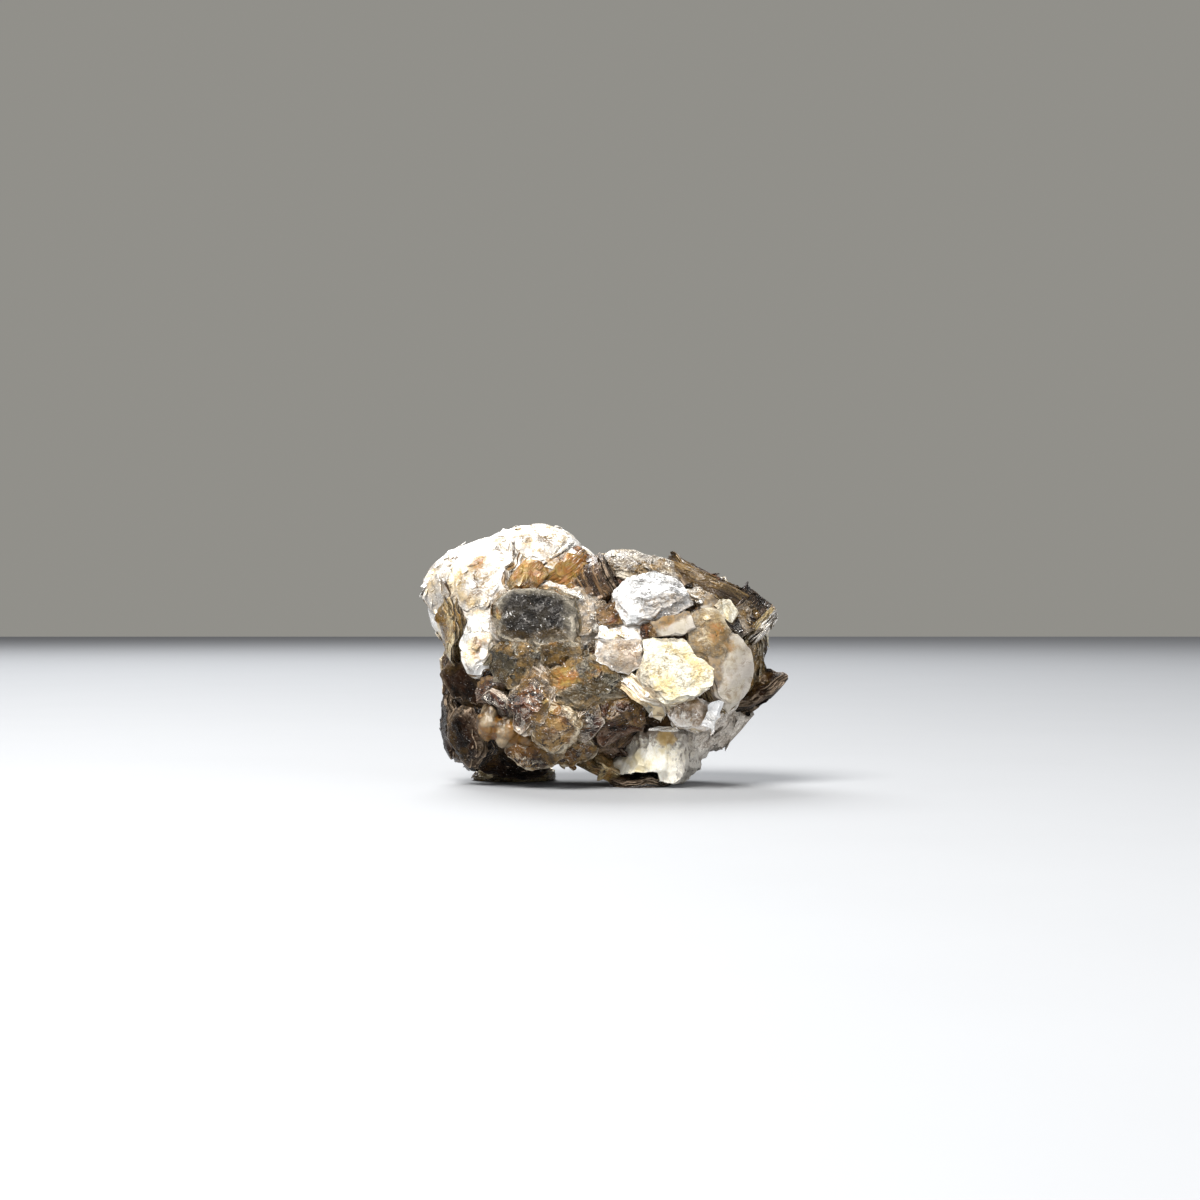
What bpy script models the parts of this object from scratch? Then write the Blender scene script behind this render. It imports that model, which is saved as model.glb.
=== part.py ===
"""Mica specimen: a fist of intergrown muscovite books, with feldspar and quartz grown into it.

Metres, +Z up. The origin is on the surface that the specimen stands on, under the middle of
its bounding box. +X runs along its length and -Y is the side with the round shells.
Lengths in the tables are millimetres and angles are degrees.
"""

import math
import random
from typing import NamedTuple

import bmesh
import bpy
from mathutils import Matrix, Vector

MM = 0.001

# The body of massive mica that every book grows out of: a lump, low at its right end.
BODY_MIDDLE = (-1.0, 0.0, 18.5)
BODY_HALF_SIZE = (21.0, 14.5, 14.5)
BODY_ROUGHNESS = 0.9

# How a book is built up and broken.
STEP_THICKNESS = 1.8  # of the sheets between one ledge and the next
MOST_STEPS = 2
LEDGE = 0.07  # width of a ledge, as a share of the book's smaller side
CORNER_WANDER = 0.13  # how far a corner strays from the ellipse, as a share of its radius
CROWN_SHARE = 0.55  # size of the flat at the middle of a curled face, as a share of the face

MERGE_WITHIN = 1e-7  # metres, for the vertices that a Boolean leaves in one place

GROWTH_GAP = 0.3  # between the mica and the minerals grown into it
ROOM_UNDER = 12.0  # depth of the slab that cuts the feet flat


class Book(NamedTuple):
    """A stack of mica sheets: where its outer face is, which way it looks and how big it is."""

    at: tuple  # middle of the outer face
    looks: tuple  # turn from -Y towards +X, then lift above level
    size: tuple  # across, up and through the sheets
    corners: int = 7
    spin: float = 0.0
    curl: tuple = (0.0, 0.0)  # how far the edges bend back, across and up


# The pale fan that wraps round the left end and over the top.
FAN = {
    "fan_side": Book((-26.4, 2.0, 25.4), (-84, -14), (16, 17, 5), 9, 8, (2.0, 3.0)),
    "fan_shoulder": Book((-22.8, -0.5, 33.8), (-62, 52), (17, 14, 5), 9, 0, (2.0, 2.4)),
    "fan_band": Book((-19.0, -10.2, 21.5), (-40, 4), (8, 16, 5), 8, 4, (1.2, 1.2)),
    "fan_fold": Book((-21.8, -7.0, 24.0), (-58, 8), (9, 16, 4), 8, -6, (1.0, 1.6)),
    "fan_crest": Book((-16.8, 1.0, 36.7), (-70, 70), (12, 10, 4), 8, 0, (1.2, 1.0)),
    "fan_ridge": Book((-10.8, 1.0, 38.1), (-24, 76), (14, 13, 5), 9, 10, (2.2, 1.8)),
    "fan_slope": Book((-4.6, 3.0, 36.4), (74, 60), (12, 11, 4), 8, 0, (1.2, 1.0)),
}

# Round shells stacked on the side that faces -Y.
SHELLS = {
    "heart_rim": Book((-9.2, -13.6, 25.4), (-2, 12), (16.5, 11.5, 5), 10, 0, (2.0, 1.4)),
    "dark_heart": Book((-10.6, -15.6, 25.5), (-6, 8), (12.5, 8.5, 4), 10, -4, (1.2, 0.8)),
    "heart_wing": Book((-2.4, -13.8, 24.6), (30, 6), (6, 10.5, 4), 9, 10, (1.0, 1.4)),
    "olive_left": Book((-13.6, -15.0, 18.9), (-24, -2), (9, 8.5, 4), 8, 15, (1.2, 0.8)),
    "olive_right": Book((-7.6, -15.4, 20.3), (2, -8), (8.5, 5.5, 3), 8, 12, (0.6, 0.6)),
    "brown_shell": Book((-11.4, -16.6, 12.9), (-24, 2), (7.5, 10.8, 4.5), 10, -8, (1.6, 1.0)),
    "stained_arch": Book((-2.6, -16.0, 16.2), (4, 10), (12.5, 8, 4), 10, -10, (1.2, 1.0)),
    "amber_flake": Book((-7.3, -16.6, 8.7), (-4, -14), (7.2, 7.4, 2.5), 9, 5, (0.8, 1.0)),
    "crinkled_shell": Book((-2.4, -15.2, 10.0), (18, -10), (5.4, 6.2, 3), 8, 0, (0.8, 0.8)),
    "lower_shell": Book((-10.6, -12.2, 4.9), (-8, -16), (9, 5, 5), 8, -6, (1.0, 0.8)),
    "middle_shell": Book((-4.5, -11.6, 5.2), (6, -24), (8, 5.4, 4), 8, 6, (1.0, 0.6)),
}

# Flat plates and broken edges on the right half of that side.
PLATES = {
    "silver_plate": Book((6.8, -13.2, 28.4), (6, 30), (12.2, 8.6, 3.5), 7, -14),
    "brown_nub": Book((3.6, -13.2, 25.6), (10, 6), (5.4, 4.2, 3), 6, 20),
    "silver_wedge": Book((9.8, -12.2, 25.9), (24, -12), (7.5, 3.6, 4), 6, 24),
    "cream_plate": Book((10.6, -16.2, 17.6), (8, 12), (12.4, 9.4, 3), 8, -24),
    "cream_tail": Book((5.6, -16.0, 16.0), (-4, 6), (6.4, 6.4, 3), 7, 20),
    "step_upper": Book((2.2, -14.4, 22.9), (0, 24), (7.4, 4.8, 4), 6, 0),
    "step_lower": Book((2.4, -15.2, 19.2), (2, 2), (7.2, 4.4, 4), 6, 30),
    "scale_left": Book((9.9, -14.4, 23.7), (8, 8), (7.2, 4.2, 3), 6, 6),
    "scale_top": Book((15.4, -11.8, 24.0), (20, 12), (6.4, 4.8, 3), 6, -18),
    "scale_low": Book((14.6, -13.4, 21.0), (14, 6), (6.8, 4.8, 3), 6, -36),
    "scale_small": Book((15.2, -9.0, 27.2), (14, 16), (3.4, 3.2, 4), 6, 10),
    "round_plate": Book((18.9, -11.4, 17.4), (38, 4), (9.2, 11.2, 3), 10, -10, (0.8, 0.6)),
    "rubble_left": Book((1.2, -14.8, 12.6), (-16, 22), (6.0, 3.4, 4), 6, 34),
    "rubble_middle": Book((4.6, -14.2, 11.2), (24, -18), (6.0, 3.6, 4), 6, -30),
    "rubble_right": Book((8.4, -12.4, 10.6), (-10, -30), (8.0, 3.6, 4), 6, -12),
    "bowl_shell": Book((12.6, -14.0, 11.6), (14, -6), (8.0, 5.6, 4), 9, -12, (1.4, 1.2)),
    "white_flake": Book((16.4, -11.8, 10.6), (44, 10), (2.6, 4.6, 3), 6, -26),
    "flank": Book((17.2, -7.6, 9.6), (40, -32), (9.6, 9.6, 5), 8, 22, (0.8, 0.8)),
    "flank_edge": Book((13.8, -4.0, 4.4), (60, -40), (9, 7, 4), 7, 0),
}

# Books seen on edge along the top, and the blades that stick out to the right.
EDGES = {
    "orange_stack": Book((-8.6, -5.4, 33.6), (-88, 54), (11, 10, 5), 7, 0),
    "orange_chip": Book((-12.8, -9.6, 31.4), (-12, 22), (5.4, 5.2, 4), 7, 16),
    "dark_stack": Book((1.4, -7.0, 31.2), (84, 26), (10, 7.4, 5), 7, 0),
    "hump": Book((3.6, -3.6, 33.6), (12, 56), (9.5, 9, 5), 8, 0, (0.8, 0.8)),
    "hump_step": Book((8.6, -5.2, 32.2), (22, 50), (7, 6.4, 4), 7, 20),
    "brown_slab": Book((16.8, -1.0, 32.0), (88, 65), (12, 12.4, 3.6), 7, 0),
    "brown_slab_under": Book((15.2, -3.4, 29.0), (84, 60), (10, 10, 3.0), 7, 12),
    "dark_fringe": Book((23.2, -1.0, 24.0), (90, -40), (9, 8.6, 5), 7, 0),
    "fringe_blade": Book((24.0, -3.2, 22.8), (84, -42), (7, 6.8, 1.6), 6, 0),
    "fringe_back": Book((20.6, 5.0, 24.0), (96, 16), (10, 9, 5), 7, 14),
    "thin_blade": Book((21.8, -4.8, 17.4), (64, -2), (6, 8, 2), 6, 12),
    "right_blade": Book((22.1, -3.2, 15.1), (-24, 44), (10.8, 5.0, 1.6), 7, 30),
    "right_blade_under": Book((20.8, -1.2, 13.2), (-24, 42), (9.0, 4.8, 1.6), 7, 32),
}

# Dark plates low on the left end, and the books that the specimen stands on.
FEET = {
    "left_plate": Book((-21.6, -5.4, 14.6), (-46, -10), (9.5, 8.6, 3.5), 8, 18),
    "left_stack": Book((-24.4, 1.0, 8.0), (-82, -6), (12, 11.4, 5), 8, 0, (1.0, 1.4)),
    "left_stack_front": Book((-21.4, -6.0, 6.8), (-50, -12), (8.4, 9.6, 4), 8, 8, (0.8, 1.0)),
    "left_foot": Book((-13.8, 6.6, 2.2), (0, 86), (12.4, 10, 4), 8, 12),
    "left_foot_root": Book((-12.4, 6.4, 0.6), (-20, -78), (9.5, 9, 7), 7, 0),
    "front_foot": Book((5.0, -4.6, 1.7), (0, 87), (9.4, 11, 4), 7, 0),
    "gold_edge": Book((0.4, -2.8, 4.6), (76, 58), (11, 9, 2.4), 7, 0),
    "right_foot": Book((10.0, -0.6, -1.0), (40, -64), (9, 9, 8), 7, 0),
    "back_foot": Book((5.6, 9.6, -1.0), (172, -66), (12, 9, 9), 8, 0),
    "belly": Book((-3.0, -1.0, 3.4), (0, -86), (24, 20, 5), 9, 0, (1.6, 1.6)),
    "belly_left": Book((-15.0, -4.6, 2.8), (-14, -52), (15, 9, 6), 8, 0, (1.0, 0.8)),
    "belly_right": Book((12.0, 3.0, 4.2), (50, -66), (14, 14, 5), 8, 0, (1.0, 1.0)),
}

# The far side: rings of books that overlap downwards like shingles.
# Each ring: lift of its books, how many, first and last turn, across and up of one book.
BACK_RINGS = (
    (-28, 5, 108, 242, (12.0, 10.0)),
    (-2, 5, 100, 243, (13.0, 12.5)),
    (26, 5, 96, 252, (13.5, 12.0)),
    (54, 3, 110, 235, (14.0, 12.0)),
)
BACK_MIDDLE = (0.0, 0.0, 18.0)
BACK_REACH = (24.2, 16.2, 18.6)  # from that middle to the books' outer faces
BACK_THICK = 5.0
BACK_SEED = 41

# Feldspar: one blocky crystal with a twin grown on its right side.
# Each block: its middle, its full size and its turn.
FELDSPAR_BLOCKS = (
    ((5.0, -6.2, 5.8), (7.6, 9.0, 6.6), 4),
    ((11.0, -5.4, 4.6), (5.2, 9.0, 8.0), -10),
)
FELDSPAR_CHIP = 0.9

# Quartz: milky rounded grains grown into each other. Each grain: its middle and its radii.
QUARTZ_GRAINS = (
    ((-17.0, -10.0, 9.4), (2.1, 2.8, 2.8)),
    ((-14.4, -11.0, 8.2), (2.3, 2.5, 2.5)),
    ((-11.4, -10.6, 7.6), (2.5, 2.7, 2.2)),
)

MICA_COLOUR = (0.46, 0.36, 0.24)
FELDSPAR_COLOUR = (0.82, 0.77, 0.64)
QUARTZ_COLOUR = (0.60, 0.57, 0.50)


def clear_scene():
    for obj in list(bpy.data.objects):
        bpy.data.objects.remove(obj)


def make_material(name, colour, roughness, metallic):
    material = bpy.data.materials.new(name)
    material.use_nodes = True
    shader = material.node_tree.nodes["Principled BSDF"]
    shader.inputs["Base Color"].default_value = (*colour, 1.0)
    shader.inputs["Roughness"].default_value = roughness
    shader.inputs["Metallic"].default_value = metallic
    return material


def new_collection(name):
    collection = bpy.data.collections.new(name)
    bpy.context.scene.collection.children.link(collection)
    return collection


def object_from(bm, name, collection, helper=False):
    """An object of this bmesh, which is freed. A helper only cuts or joins, and isn't a piece."""
    bmesh.ops.recalc_face_normals(bm, faces=bm.faces)
    bmesh.ops.triangulate(bm, faces=bm.faces)
    mesh = bpy.data.meshes.new(name)
    bm.to_mesh(mesh)
    bm.free()
    obj = bpy.data.objects.new(name, mesh)
    collection.objects.link(obj)
    obj.hide_render = helper
    obj.display_type = "WIRE" if helper else "TEXTURED"
    return obj


def cut_ring(bm, face, share, drift):
    """Cuts a ring into the face, its corners this share of the way out from the middle."""
    bmesh.ops.inset_region(bm, faces=[face], thickness=0.0)
    middle = face.calc_center_median()
    shrunk = Matrix.Diagonal((share, share, 1.0))
    for vert in face.verts:
        vert.co = middle + drift + shrunk @ (vert.co - middle)


def next_step(bm, face, ledge, height, dice):
    """Breaks the sheets above back from the edge, stacks them to this height and returns the top."""
    drift = Vector((dice.uniform(-ledge, ledge), dice.uniform(-ledge, ledge), 0.0)) * 0.6
    cut_ring(bm, face, 1.0 - 2.0 * ledge / math.sqrt(face.calc_area()), drift)
    risen = bmesh.ops.extrude_face_region(bm, geom=[face])["geom"]
    bmesh.ops.delete(bm, geom=[face], context="FACES_ONLY")
    raised = [part for part in risen if isinstance(part, bmesh.types.BMVert)]
    bmesh.ops.translate(bm, verts=raised, vec=(0.0, 0.0, height))
    return next(part for part in risen if isinstance(part, bmesh.types.BMFace))


def make_book(name, book, collection, dice):
    """A closed stack of sheets with broken ledges, its outer face at the object's origin."""
    across, up, thick = (MM * side for side in book.size)
    steps = max(1, min(MOST_STEPS, round(book.size[2] / STEP_THICKNESS)))
    height = thick / steps
    ledge = LEDGE * min(across, up)

    bm = bmesh.new()
    bmesh.ops.create_cone(
        bm, cap_ends=True, segments=book.corners, radius1=0.5, radius2=0.5, depth=height
    )
    bmesh.ops.scale(bm, verts=bm.verts, vec=(across, up, 1.0))
    wander = [1.0 + dice.uniform(-CORNER_WANDER, CORNER_WANDER) for _ in range(book.corners)]
    for vert in bm.verts:
        corner = round(math.atan2(vert.co.y / up, vert.co.x / across) * book.corners / math.tau)
        vert.co.x *= wander[corner % book.corners]
        vert.co.y *= wander[corner % book.corners]
    top = max(bm.faces, key=lambda face: face.calc_center_median().z)
    for _ in range(steps - 1):
        top = next_step(bm, top, ledge, height, dice)
    if any(book.curl):
        cut_ring(bm, top, CROWN_SHARE, Vector())

    outer = max(vert.co.z for vert in bm.verts)
    for vert in bm.verts:
        bend_across = book.curl[0] * MM * (2.0 * vert.co.x / across) ** 2
        bend_up = book.curl[1] * MM * (2.0 * vert.co.y / up) ** 2
        vert.co.z -= outer + bend_across + bend_up
    bmesh.ops.rotate(bm, verts=bm.verts, matrix=Matrix.Rotation(math.radians(book.spin), 3, "Z"))

    obj = object_from(bm, name, collection, helper=True)
    turn, lift = book.looks
    obj.location = MM * Vector(book.at)
    obj.rotation_euler = (math.radians(90.0 - lift), 0.0, math.radians(turn))
    return obj


def back_books():
    """The shingled books of the far side, each turned and sized a little differently."""
    dice = random.Random(BACK_SEED)
    found = {}
    for ring, (lift, count, first, last, (across, up)) in enumerate(BACK_RINGS):
        for n in range(count):
            turn = first + (last - first) * n / (count - 1) + dice.uniform(-6, 6)
            tilt = lift + dice.uniform(-7, 7)
            out = Vector(
                (
                    math.sin(math.radians(turn)) * math.cos(math.radians(tilt)),
                    -math.cos(math.radians(turn)) * math.cos(math.radians(tilt)),
                    math.sin(math.radians(tilt)),
                )
            )
            at = [m + r * o for m, r, o in zip(BACK_MIDDLE, BACK_REACH, out)]
            grow = dice.uniform(0.85, 1.15)
            found[f"back_{ring}_{n}"] = Book(
                at=tuple(at),
                looks=(turn + dice.uniform(-20, 20), tilt + 12 + dice.uniform(-14, 14)),
                size=(across * grow, up * grow, BACK_THICK),
                corners=dice.choice((6, 7, 8)),
                spin=dice.uniform(0, 50),
                curl=(dice.uniform(0.2, 1.4), dice.uniform(0.2, 1.4)),
            )
    return found


def make_body(collection):
    """The massive mica inside: a rough lump with every book rooted in it."""
    dice = random.Random(7)
    bm = bmesh.new()
    bmesh.ops.create_icosphere(bm, subdivisions=2, radius=1.0)
    for vert in bm.verts:
        rough = Vector([dice.uniform(-BODY_ROUGHNESS, BODY_ROUGHNESS) for _ in range(3)])
        lump = Vector([c * half for c, half in zip(vert.co, BODY_HALF_SIZE)])
        vert.co = MM * (Vector(BODY_MIDDLE) + lump + rough)
    return object_from(bm, "mica_crystals", collection)


def make_feldspar(name, collection, grow, helper):
    """Two chipped blocks joined side by side, each grown by this much all round."""
    blocks = []
    for number, (middle, size, turn) in enumerate(FELDSPAR_BLOCKS):
        dice = random.Random(11 + number)
        bm = bmesh.new()
        bmesh.ops.create_cube(bm, size=1.0)
        bmesh.ops.subdivide_edges(bm, edges=bm.edges, cuts=1, use_grid_fill=True)
        for vert in bm.verts:
            chip = Vector([dice.uniform(-FELDSPAR_CHIP, FELDSPAR_CHIP) for _ in range(3)])
            grown = Vector([c * (side + 2.0 * grow) for c, side in zip(vert.co, size)])
            vert.co = MM * (grown + chip * 0.5)
        turned = Matrix.Rotation(math.radians(turn), 4, "Z")
        bm.transform(Matrix.Translation(MM * Vector(middle)) @ turned)
        block = object_from(bm, f"{name}_block_{number}", collection, helper=True)
        blocks.append(block)
    first, twin = blocks
    add_boolean(first, "UNION", twin)
    return settled(first, name, collection, helper)


def make_quartz(name, collection, grow, helper):
    """Round grains joined where they have grown together."""
    grains = []
    for number, (middle, radii) in enumerate(QUARTZ_GRAINS):
        bm = bmesh.new()
        bmesh.ops.create_icosphere(bm, subdivisions=2, radius=1.0)
        for vert in bm.verts:
            grain = Vector([c * (radius + grow) for c, radius in zip(vert.co, radii)])
            vert.co = MM * (Vector(middle) + grain)
        grains.append(object_from(bm, f"{name}_grain_{number}", collection, helper=True))
    first = grains[0]
    for grain in grains[1:]:
        add_boolean(first, "UNION", grain)
    return settled(first, name, collection, helper)


def make_table_cutter(collection):
    """A slab whose upper face is the surface that the specimen stands on."""
    bm = bmesh.new()
    bmesh.ops.create_cube(bm, size=1.0)
    side = MM * 120.0
    depth = MM * ROOM_UNDER
    bmesh.ops.scale(bm, verts=bm.verts, vec=(side, side, depth))
    bmesh.ops.translate(bm, verts=bm.verts, vec=(0.0, 0.0, -depth / 2.0))
    return object_from(bm, "under_the_feet", collection, helper=True)


def add_boolean(obj, operation, other):
    modifier = obj.modifiers.new(f"{operation.lower()}_{other.name}", "BOOLEAN")
    modifier.operation = operation
    modifier.solver = "EXACT"
    if isinstance(other, bpy.types.Collection):
        modifier.operand_type = "COLLECTION"
        modifier.collection = other
    else:
        modifier.object = other


def islands(bm):
    """The separate closed surfaces of a mesh, each as a list of faces."""
    waiting = set(bm.faces)
    found = []
    while waiting:
        island, edge_of = [], [waiting.pop()]
        while edge_of:
            face = edge_of.pop()
            island.append(face)
            for edge in face.edges:
                for neighbour in edge.link_faces:
                    if neighbour in waiting:
                        waiting.discard(neighbour)
                        edge_of.append(neighbour)
        found.append(island)
    return found


def settled(obj, name, collection, helper=False):
    """The object with its Booleans worked out: sealed pockets are filled and loose chips dropped."""
    bpy.context.view_layer.update()
    evaluated = obj.evaluated_get(bpy.context.evaluated_depsgraph_get())
    mesh = bpy.data.meshes.new_from_object(evaluated)
    bm = bmesh.new()
    bm.from_mesh(mesh)
    bm.transform(obj.matrix_world)
    bmesh.ops.remove_doubles(bm, verts=bm.verts, dist=MERGE_WITHIN)
    for island in sorted(islands(bm), key=len)[:-1]:
        bmesh.ops.delete(bm, geom=island, context="FACES")
    bpy.data.objects.remove(obj)
    bpy.data.meshes.remove(mesh)
    return object_from(bm, name, collection, helper)


def main():
    clear_scene()
    specimen = new_collection("mica_specimen")
    books = new_collection("books")
    cutters = new_collection("cutters")

    dice = random.Random(3)
    for region in (FAN, SHELLS, PLATES, EDGES, FEET, back_books()):
        for name, book in region.items():
            make_book(name, book, books, dice)

    cluster = make_body(specimen)
    add_boolean(cluster, "UNION", books)
    add_boolean(cluster, "DIFFERENCE", make_feldspar("feldspar_pocket", cutters, GROWTH_GAP, True))
    add_boolean(cluster, "DIFFERENCE", make_quartz("quartz_pocket", cutters, GROWTH_GAP, True))
    table = make_table_cutter(cutters)
    add_boolean(cluster, "DIFFERENCE", table)
    cluster = settled(cluster, "mica_crystals", specimen)

    feldspar = make_feldspar("feldspar", specimen, 0.0, False)
    add_boolean(feldspar, "DIFFERENCE", table)
    quartz = make_quartz("quartz", specimen, 0.0, False)

    cluster.data.materials.append(make_material("mica", MICA_COLOUR, 0.35, 0.35))
    feldspar.data.materials.append(make_material("feldspar", FELDSPAR_COLOUR, 0.5, 0.0))
    quartz.data.materials.append(make_material("quartz", QUARTZ_COLOUR, 0.3, 0.0))


main()
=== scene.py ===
import math
import random

import bpy
import numpy as np
from mathutils import Euler, Matrix, Vector
from mathutils.bvhtree import BVHTree


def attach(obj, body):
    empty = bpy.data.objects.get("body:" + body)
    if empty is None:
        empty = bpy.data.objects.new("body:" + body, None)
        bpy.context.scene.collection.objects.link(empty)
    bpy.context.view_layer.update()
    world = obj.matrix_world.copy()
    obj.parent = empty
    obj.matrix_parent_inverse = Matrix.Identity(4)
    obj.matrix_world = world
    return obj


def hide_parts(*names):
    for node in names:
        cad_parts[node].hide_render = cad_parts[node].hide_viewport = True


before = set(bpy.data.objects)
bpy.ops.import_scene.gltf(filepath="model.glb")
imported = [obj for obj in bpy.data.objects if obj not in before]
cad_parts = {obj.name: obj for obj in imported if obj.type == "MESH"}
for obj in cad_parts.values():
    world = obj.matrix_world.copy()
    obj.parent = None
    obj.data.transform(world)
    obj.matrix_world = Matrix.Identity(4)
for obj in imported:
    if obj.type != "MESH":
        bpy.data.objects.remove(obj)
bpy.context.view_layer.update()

mm = 0.001
scene = bpy.context.scene


def deselectAll():
    if bpy.context.object and bpy.context.object.mode != "OBJECT":
        bpy.ops.object.mode_set(mode="OBJECT")
    bpy.ops.object.select_all(action="DESELECT")


def makeActive(piece):
    deselectAll()
    piece.select_set(True)
    bpy.context.view_layer.objects.active = piece


def applyModifiers(piece):
    makeActive(piece)
    for modifier in list(piece.modifiers):
        bpy.ops.object.modifier_apply(modifier=modifier.name)


def joinAs(name, parts):
    makeActive(parts[0])
    for part in parts[1:]:
        part.select_set(True)
    if len(parts) > 1:
        bpy.ops.object.join()
    piece = bpy.context.object
    piece.name = name
    piece.data.name = name
    return piece


# the corners of a mesh, as rows of x, y and z
def readPoints(mesh):
    points = np.empty(len(mesh.vertices) * 3)
    mesh.vertices.foreach_get("co", points)
    return points.reshape(-1, 3)


def writePoints(mesh, points):
    mesh.vertices.foreach_set("co", points.ravel())
    mesh.update()


# a number or a direction for every corner, which the materials read
def addLayer(mesh, name, values):
    kind, field = ("FLOAT_VECTOR", "vector") if values.ndim == 2 else ("FLOAT", "value")
    layer = mesh.attributes.new(name, kind, "POINT")
    layer.data.foreach_set(field, values.ravel())


# the small makers of shader nodes that the materials share

def newGroup(name, inputs, outputs):
    group = bpy.data.node_groups.new(name, "ShaderNodeTree")
    for label, value in inputs.items():
        socket = group.interface.new_socket(label, in_out="INPUT", socket_type="NodeSocketFloat")
        socket.default_value = value
    for label in outputs:
        group.interface.new_socket(label, in_out="OUTPUT", socket_type="NodeSocketFloat")
    return group, group.nodes.new("NodeGroupInput").outputs, group.nodes.new("NodeGroupOutput").inputs


def useGroup(tree, group, **settings):
    node = tree.nodes.new("ShaderNodeGroup")
    node.node_tree = group
    for label, value in settings.items():
        node.inputs[label.replace("_", " ")].default_value = value
    return node.outputs


def setSocket(tree, socket, value):
    if isinstance(value, tuple) and len(value) == 3 and socket.type == "RGBA":
        socket.default_value = (*value, 1.0)
    elif isinstance(value, (int, float, tuple)):
        socket.default_value = value
    else:
        tree.links.new(value, socket)


def calc(tree, operation, *values):
    node = tree.nodes.new("ShaderNodeMath")
    node.operation = operation
    for socket, value in zip(node.inputs, values):
        setSocket(tree, socket, value)
    return node.outputs[0]


def times(tree, first, second):
    return calc(tree, "MULTIPLY", first, second)


def plus(tree, first, second):
    return calc(tree, "ADD", first, second)


def minus(tree, first, second):
    return calc(tree, "SUBTRACT", first, second)


def timesPlus(tree, first, second, added):
    return calc(tree, "MULTIPLY_ADD", first, second, added)


def vectorCalc(tree, operation, *values):
    node = tree.nodes.new("ShaderNodeVectorMath")
    node.operation = operation
    for socket, value in zip(node.inputs, values):
        setSocket(tree, socket, value)
    return node.outputs["Value" if operation == "DOT_PRODUCT" else "Vector"]


def scaled(tree, place, amount):
    node = tree.nodes.new("ShaderNodeVectorMath")
    node.operation = "SCALE"
    setSocket(tree, node.inputs[0], place)
    setSocket(tree, node.inputs["Scale"], amount)
    return node.outputs["Vector"]


def splitAxes(tree, place):
    node = tree.nodes.new("ShaderNodeSeparateXYZ")
    tree.links.new(place, node.inputs[0])
    return node.outputs["X"], node.outputs["Y"], node.outputs["Z"]


def joinAxes(tree, *axes):
    node = tree.nodes.new("ShaderNodeCombineXYZ")
    for socket, value in zip(node.inputs, axes):
        setSocket(tree, socket, value)
    return node.outputs[0]


def smoothRange(tree, value, low, high):
    node = tree.nodes.new("ShaderNodeMapRange")
    node.interpolation_type = "SMOOTHSTEP"
    for label, setting in (("Value", value), ("From Min", low), ("From Max", high)):
        setSocket(tree, node.inputs[label], setting)
    return node.outputs["Result"]


def noise(tree, place, perMm=1.0, detail=3.0, roughness=0.55, distortion=0.0, color=False):
    node = tree.nodes.new("ShaderNodeTexNoise")
    settings = {
        "Vector": place, "Scale": perMm, "Detail": detail, "Roughness": roughness, "Distortion": distortion,
    }
    for label, value in settings.items():
        setSocket(tree, node.inputs[label], value)
    return node.outputs["Color" if color else "Fac"]


# cells, each with its own shade, and what is known of the nearest one
def cellNoise(tree, place):
    node = tree.nodes.new("ShaderNodeTexVoronoi")
    node.feature = "F1"
    setSocket(tree, node.inputs["Vector"], place)
    setSocket(tree, node.inputs["Scale"], 1.0)
    shade = tree.nodes.new("ShaderNodeSeparateColor")
    tree.links.new(node.outputs["Color"], shade.inputs["Color"])
    return node.outputs, shade.outputs


# a push that wanders in every direction
def push(tree, place, perMm, reach, detail=3.0, roughness=0.55):
    colored = noise(tree, place, perMm, detail, roughness, color=True)
    return scaled(tree, vectorCalc(tree, "SUBTRACT", colored, (0.5, 0.5, 0.5)), reach)


def mix(tree, amount, first, second):
    node = tree.nodes.new("ShaderNodeMix")
    node.data_type = "RGBA"
    node.clamp_factor = True
    for socket, value in ((node.inputs[0], amount), (node.inputs[6], first), (node.inputs[7], second)):
        setSocket(tree, socket, value)
    return node.outputs[2]


# a color laid over another, as far as the mask and the amount say
def layOver(tree, under, color, mask, amount):
    return mix(tree, times(tree, mask, amount), under, color)


def attribute(tree, name, output="Fac"):
    node = tree.nodes.new("ShaderNodeAttribute")
    node.attribute_type = "GEOMETRY"
    node.attribute_name = name
    return node.outputs[output]


# object coordinates in millimeters
def placeInMm(tree):
    return scaled(tree, tree.nodes.new("ShaderNodeTexCoord").outputs["Object"], 1.0 / mm)


# thin lines where a noise passes its middle value
def middleLines(tree, value, width):
    away = calc(tree, "ABSOLUTE", minus(tree, value, 0.5))
    return minus(tree, 1.0, smoothRange(tree, away, 0.0, width))


def bumpNormal(tree, height, strength, distance):
    node = tree.nodes.new("ShaderNodeBump")
    node.inputs["Strength"].default_value = strength
    node.inputs["Distance"].default_value = distance
    tree.links.new(height, node.inputs["Height"])
    return node.outputs["Normal"]


def newMaterial(name):
    material = bpy.data.materials.new(name)
    material.use_nodes = True
    return material, material.node_tree, material.node_tree.nodes["Principled BSDF"]


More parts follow.
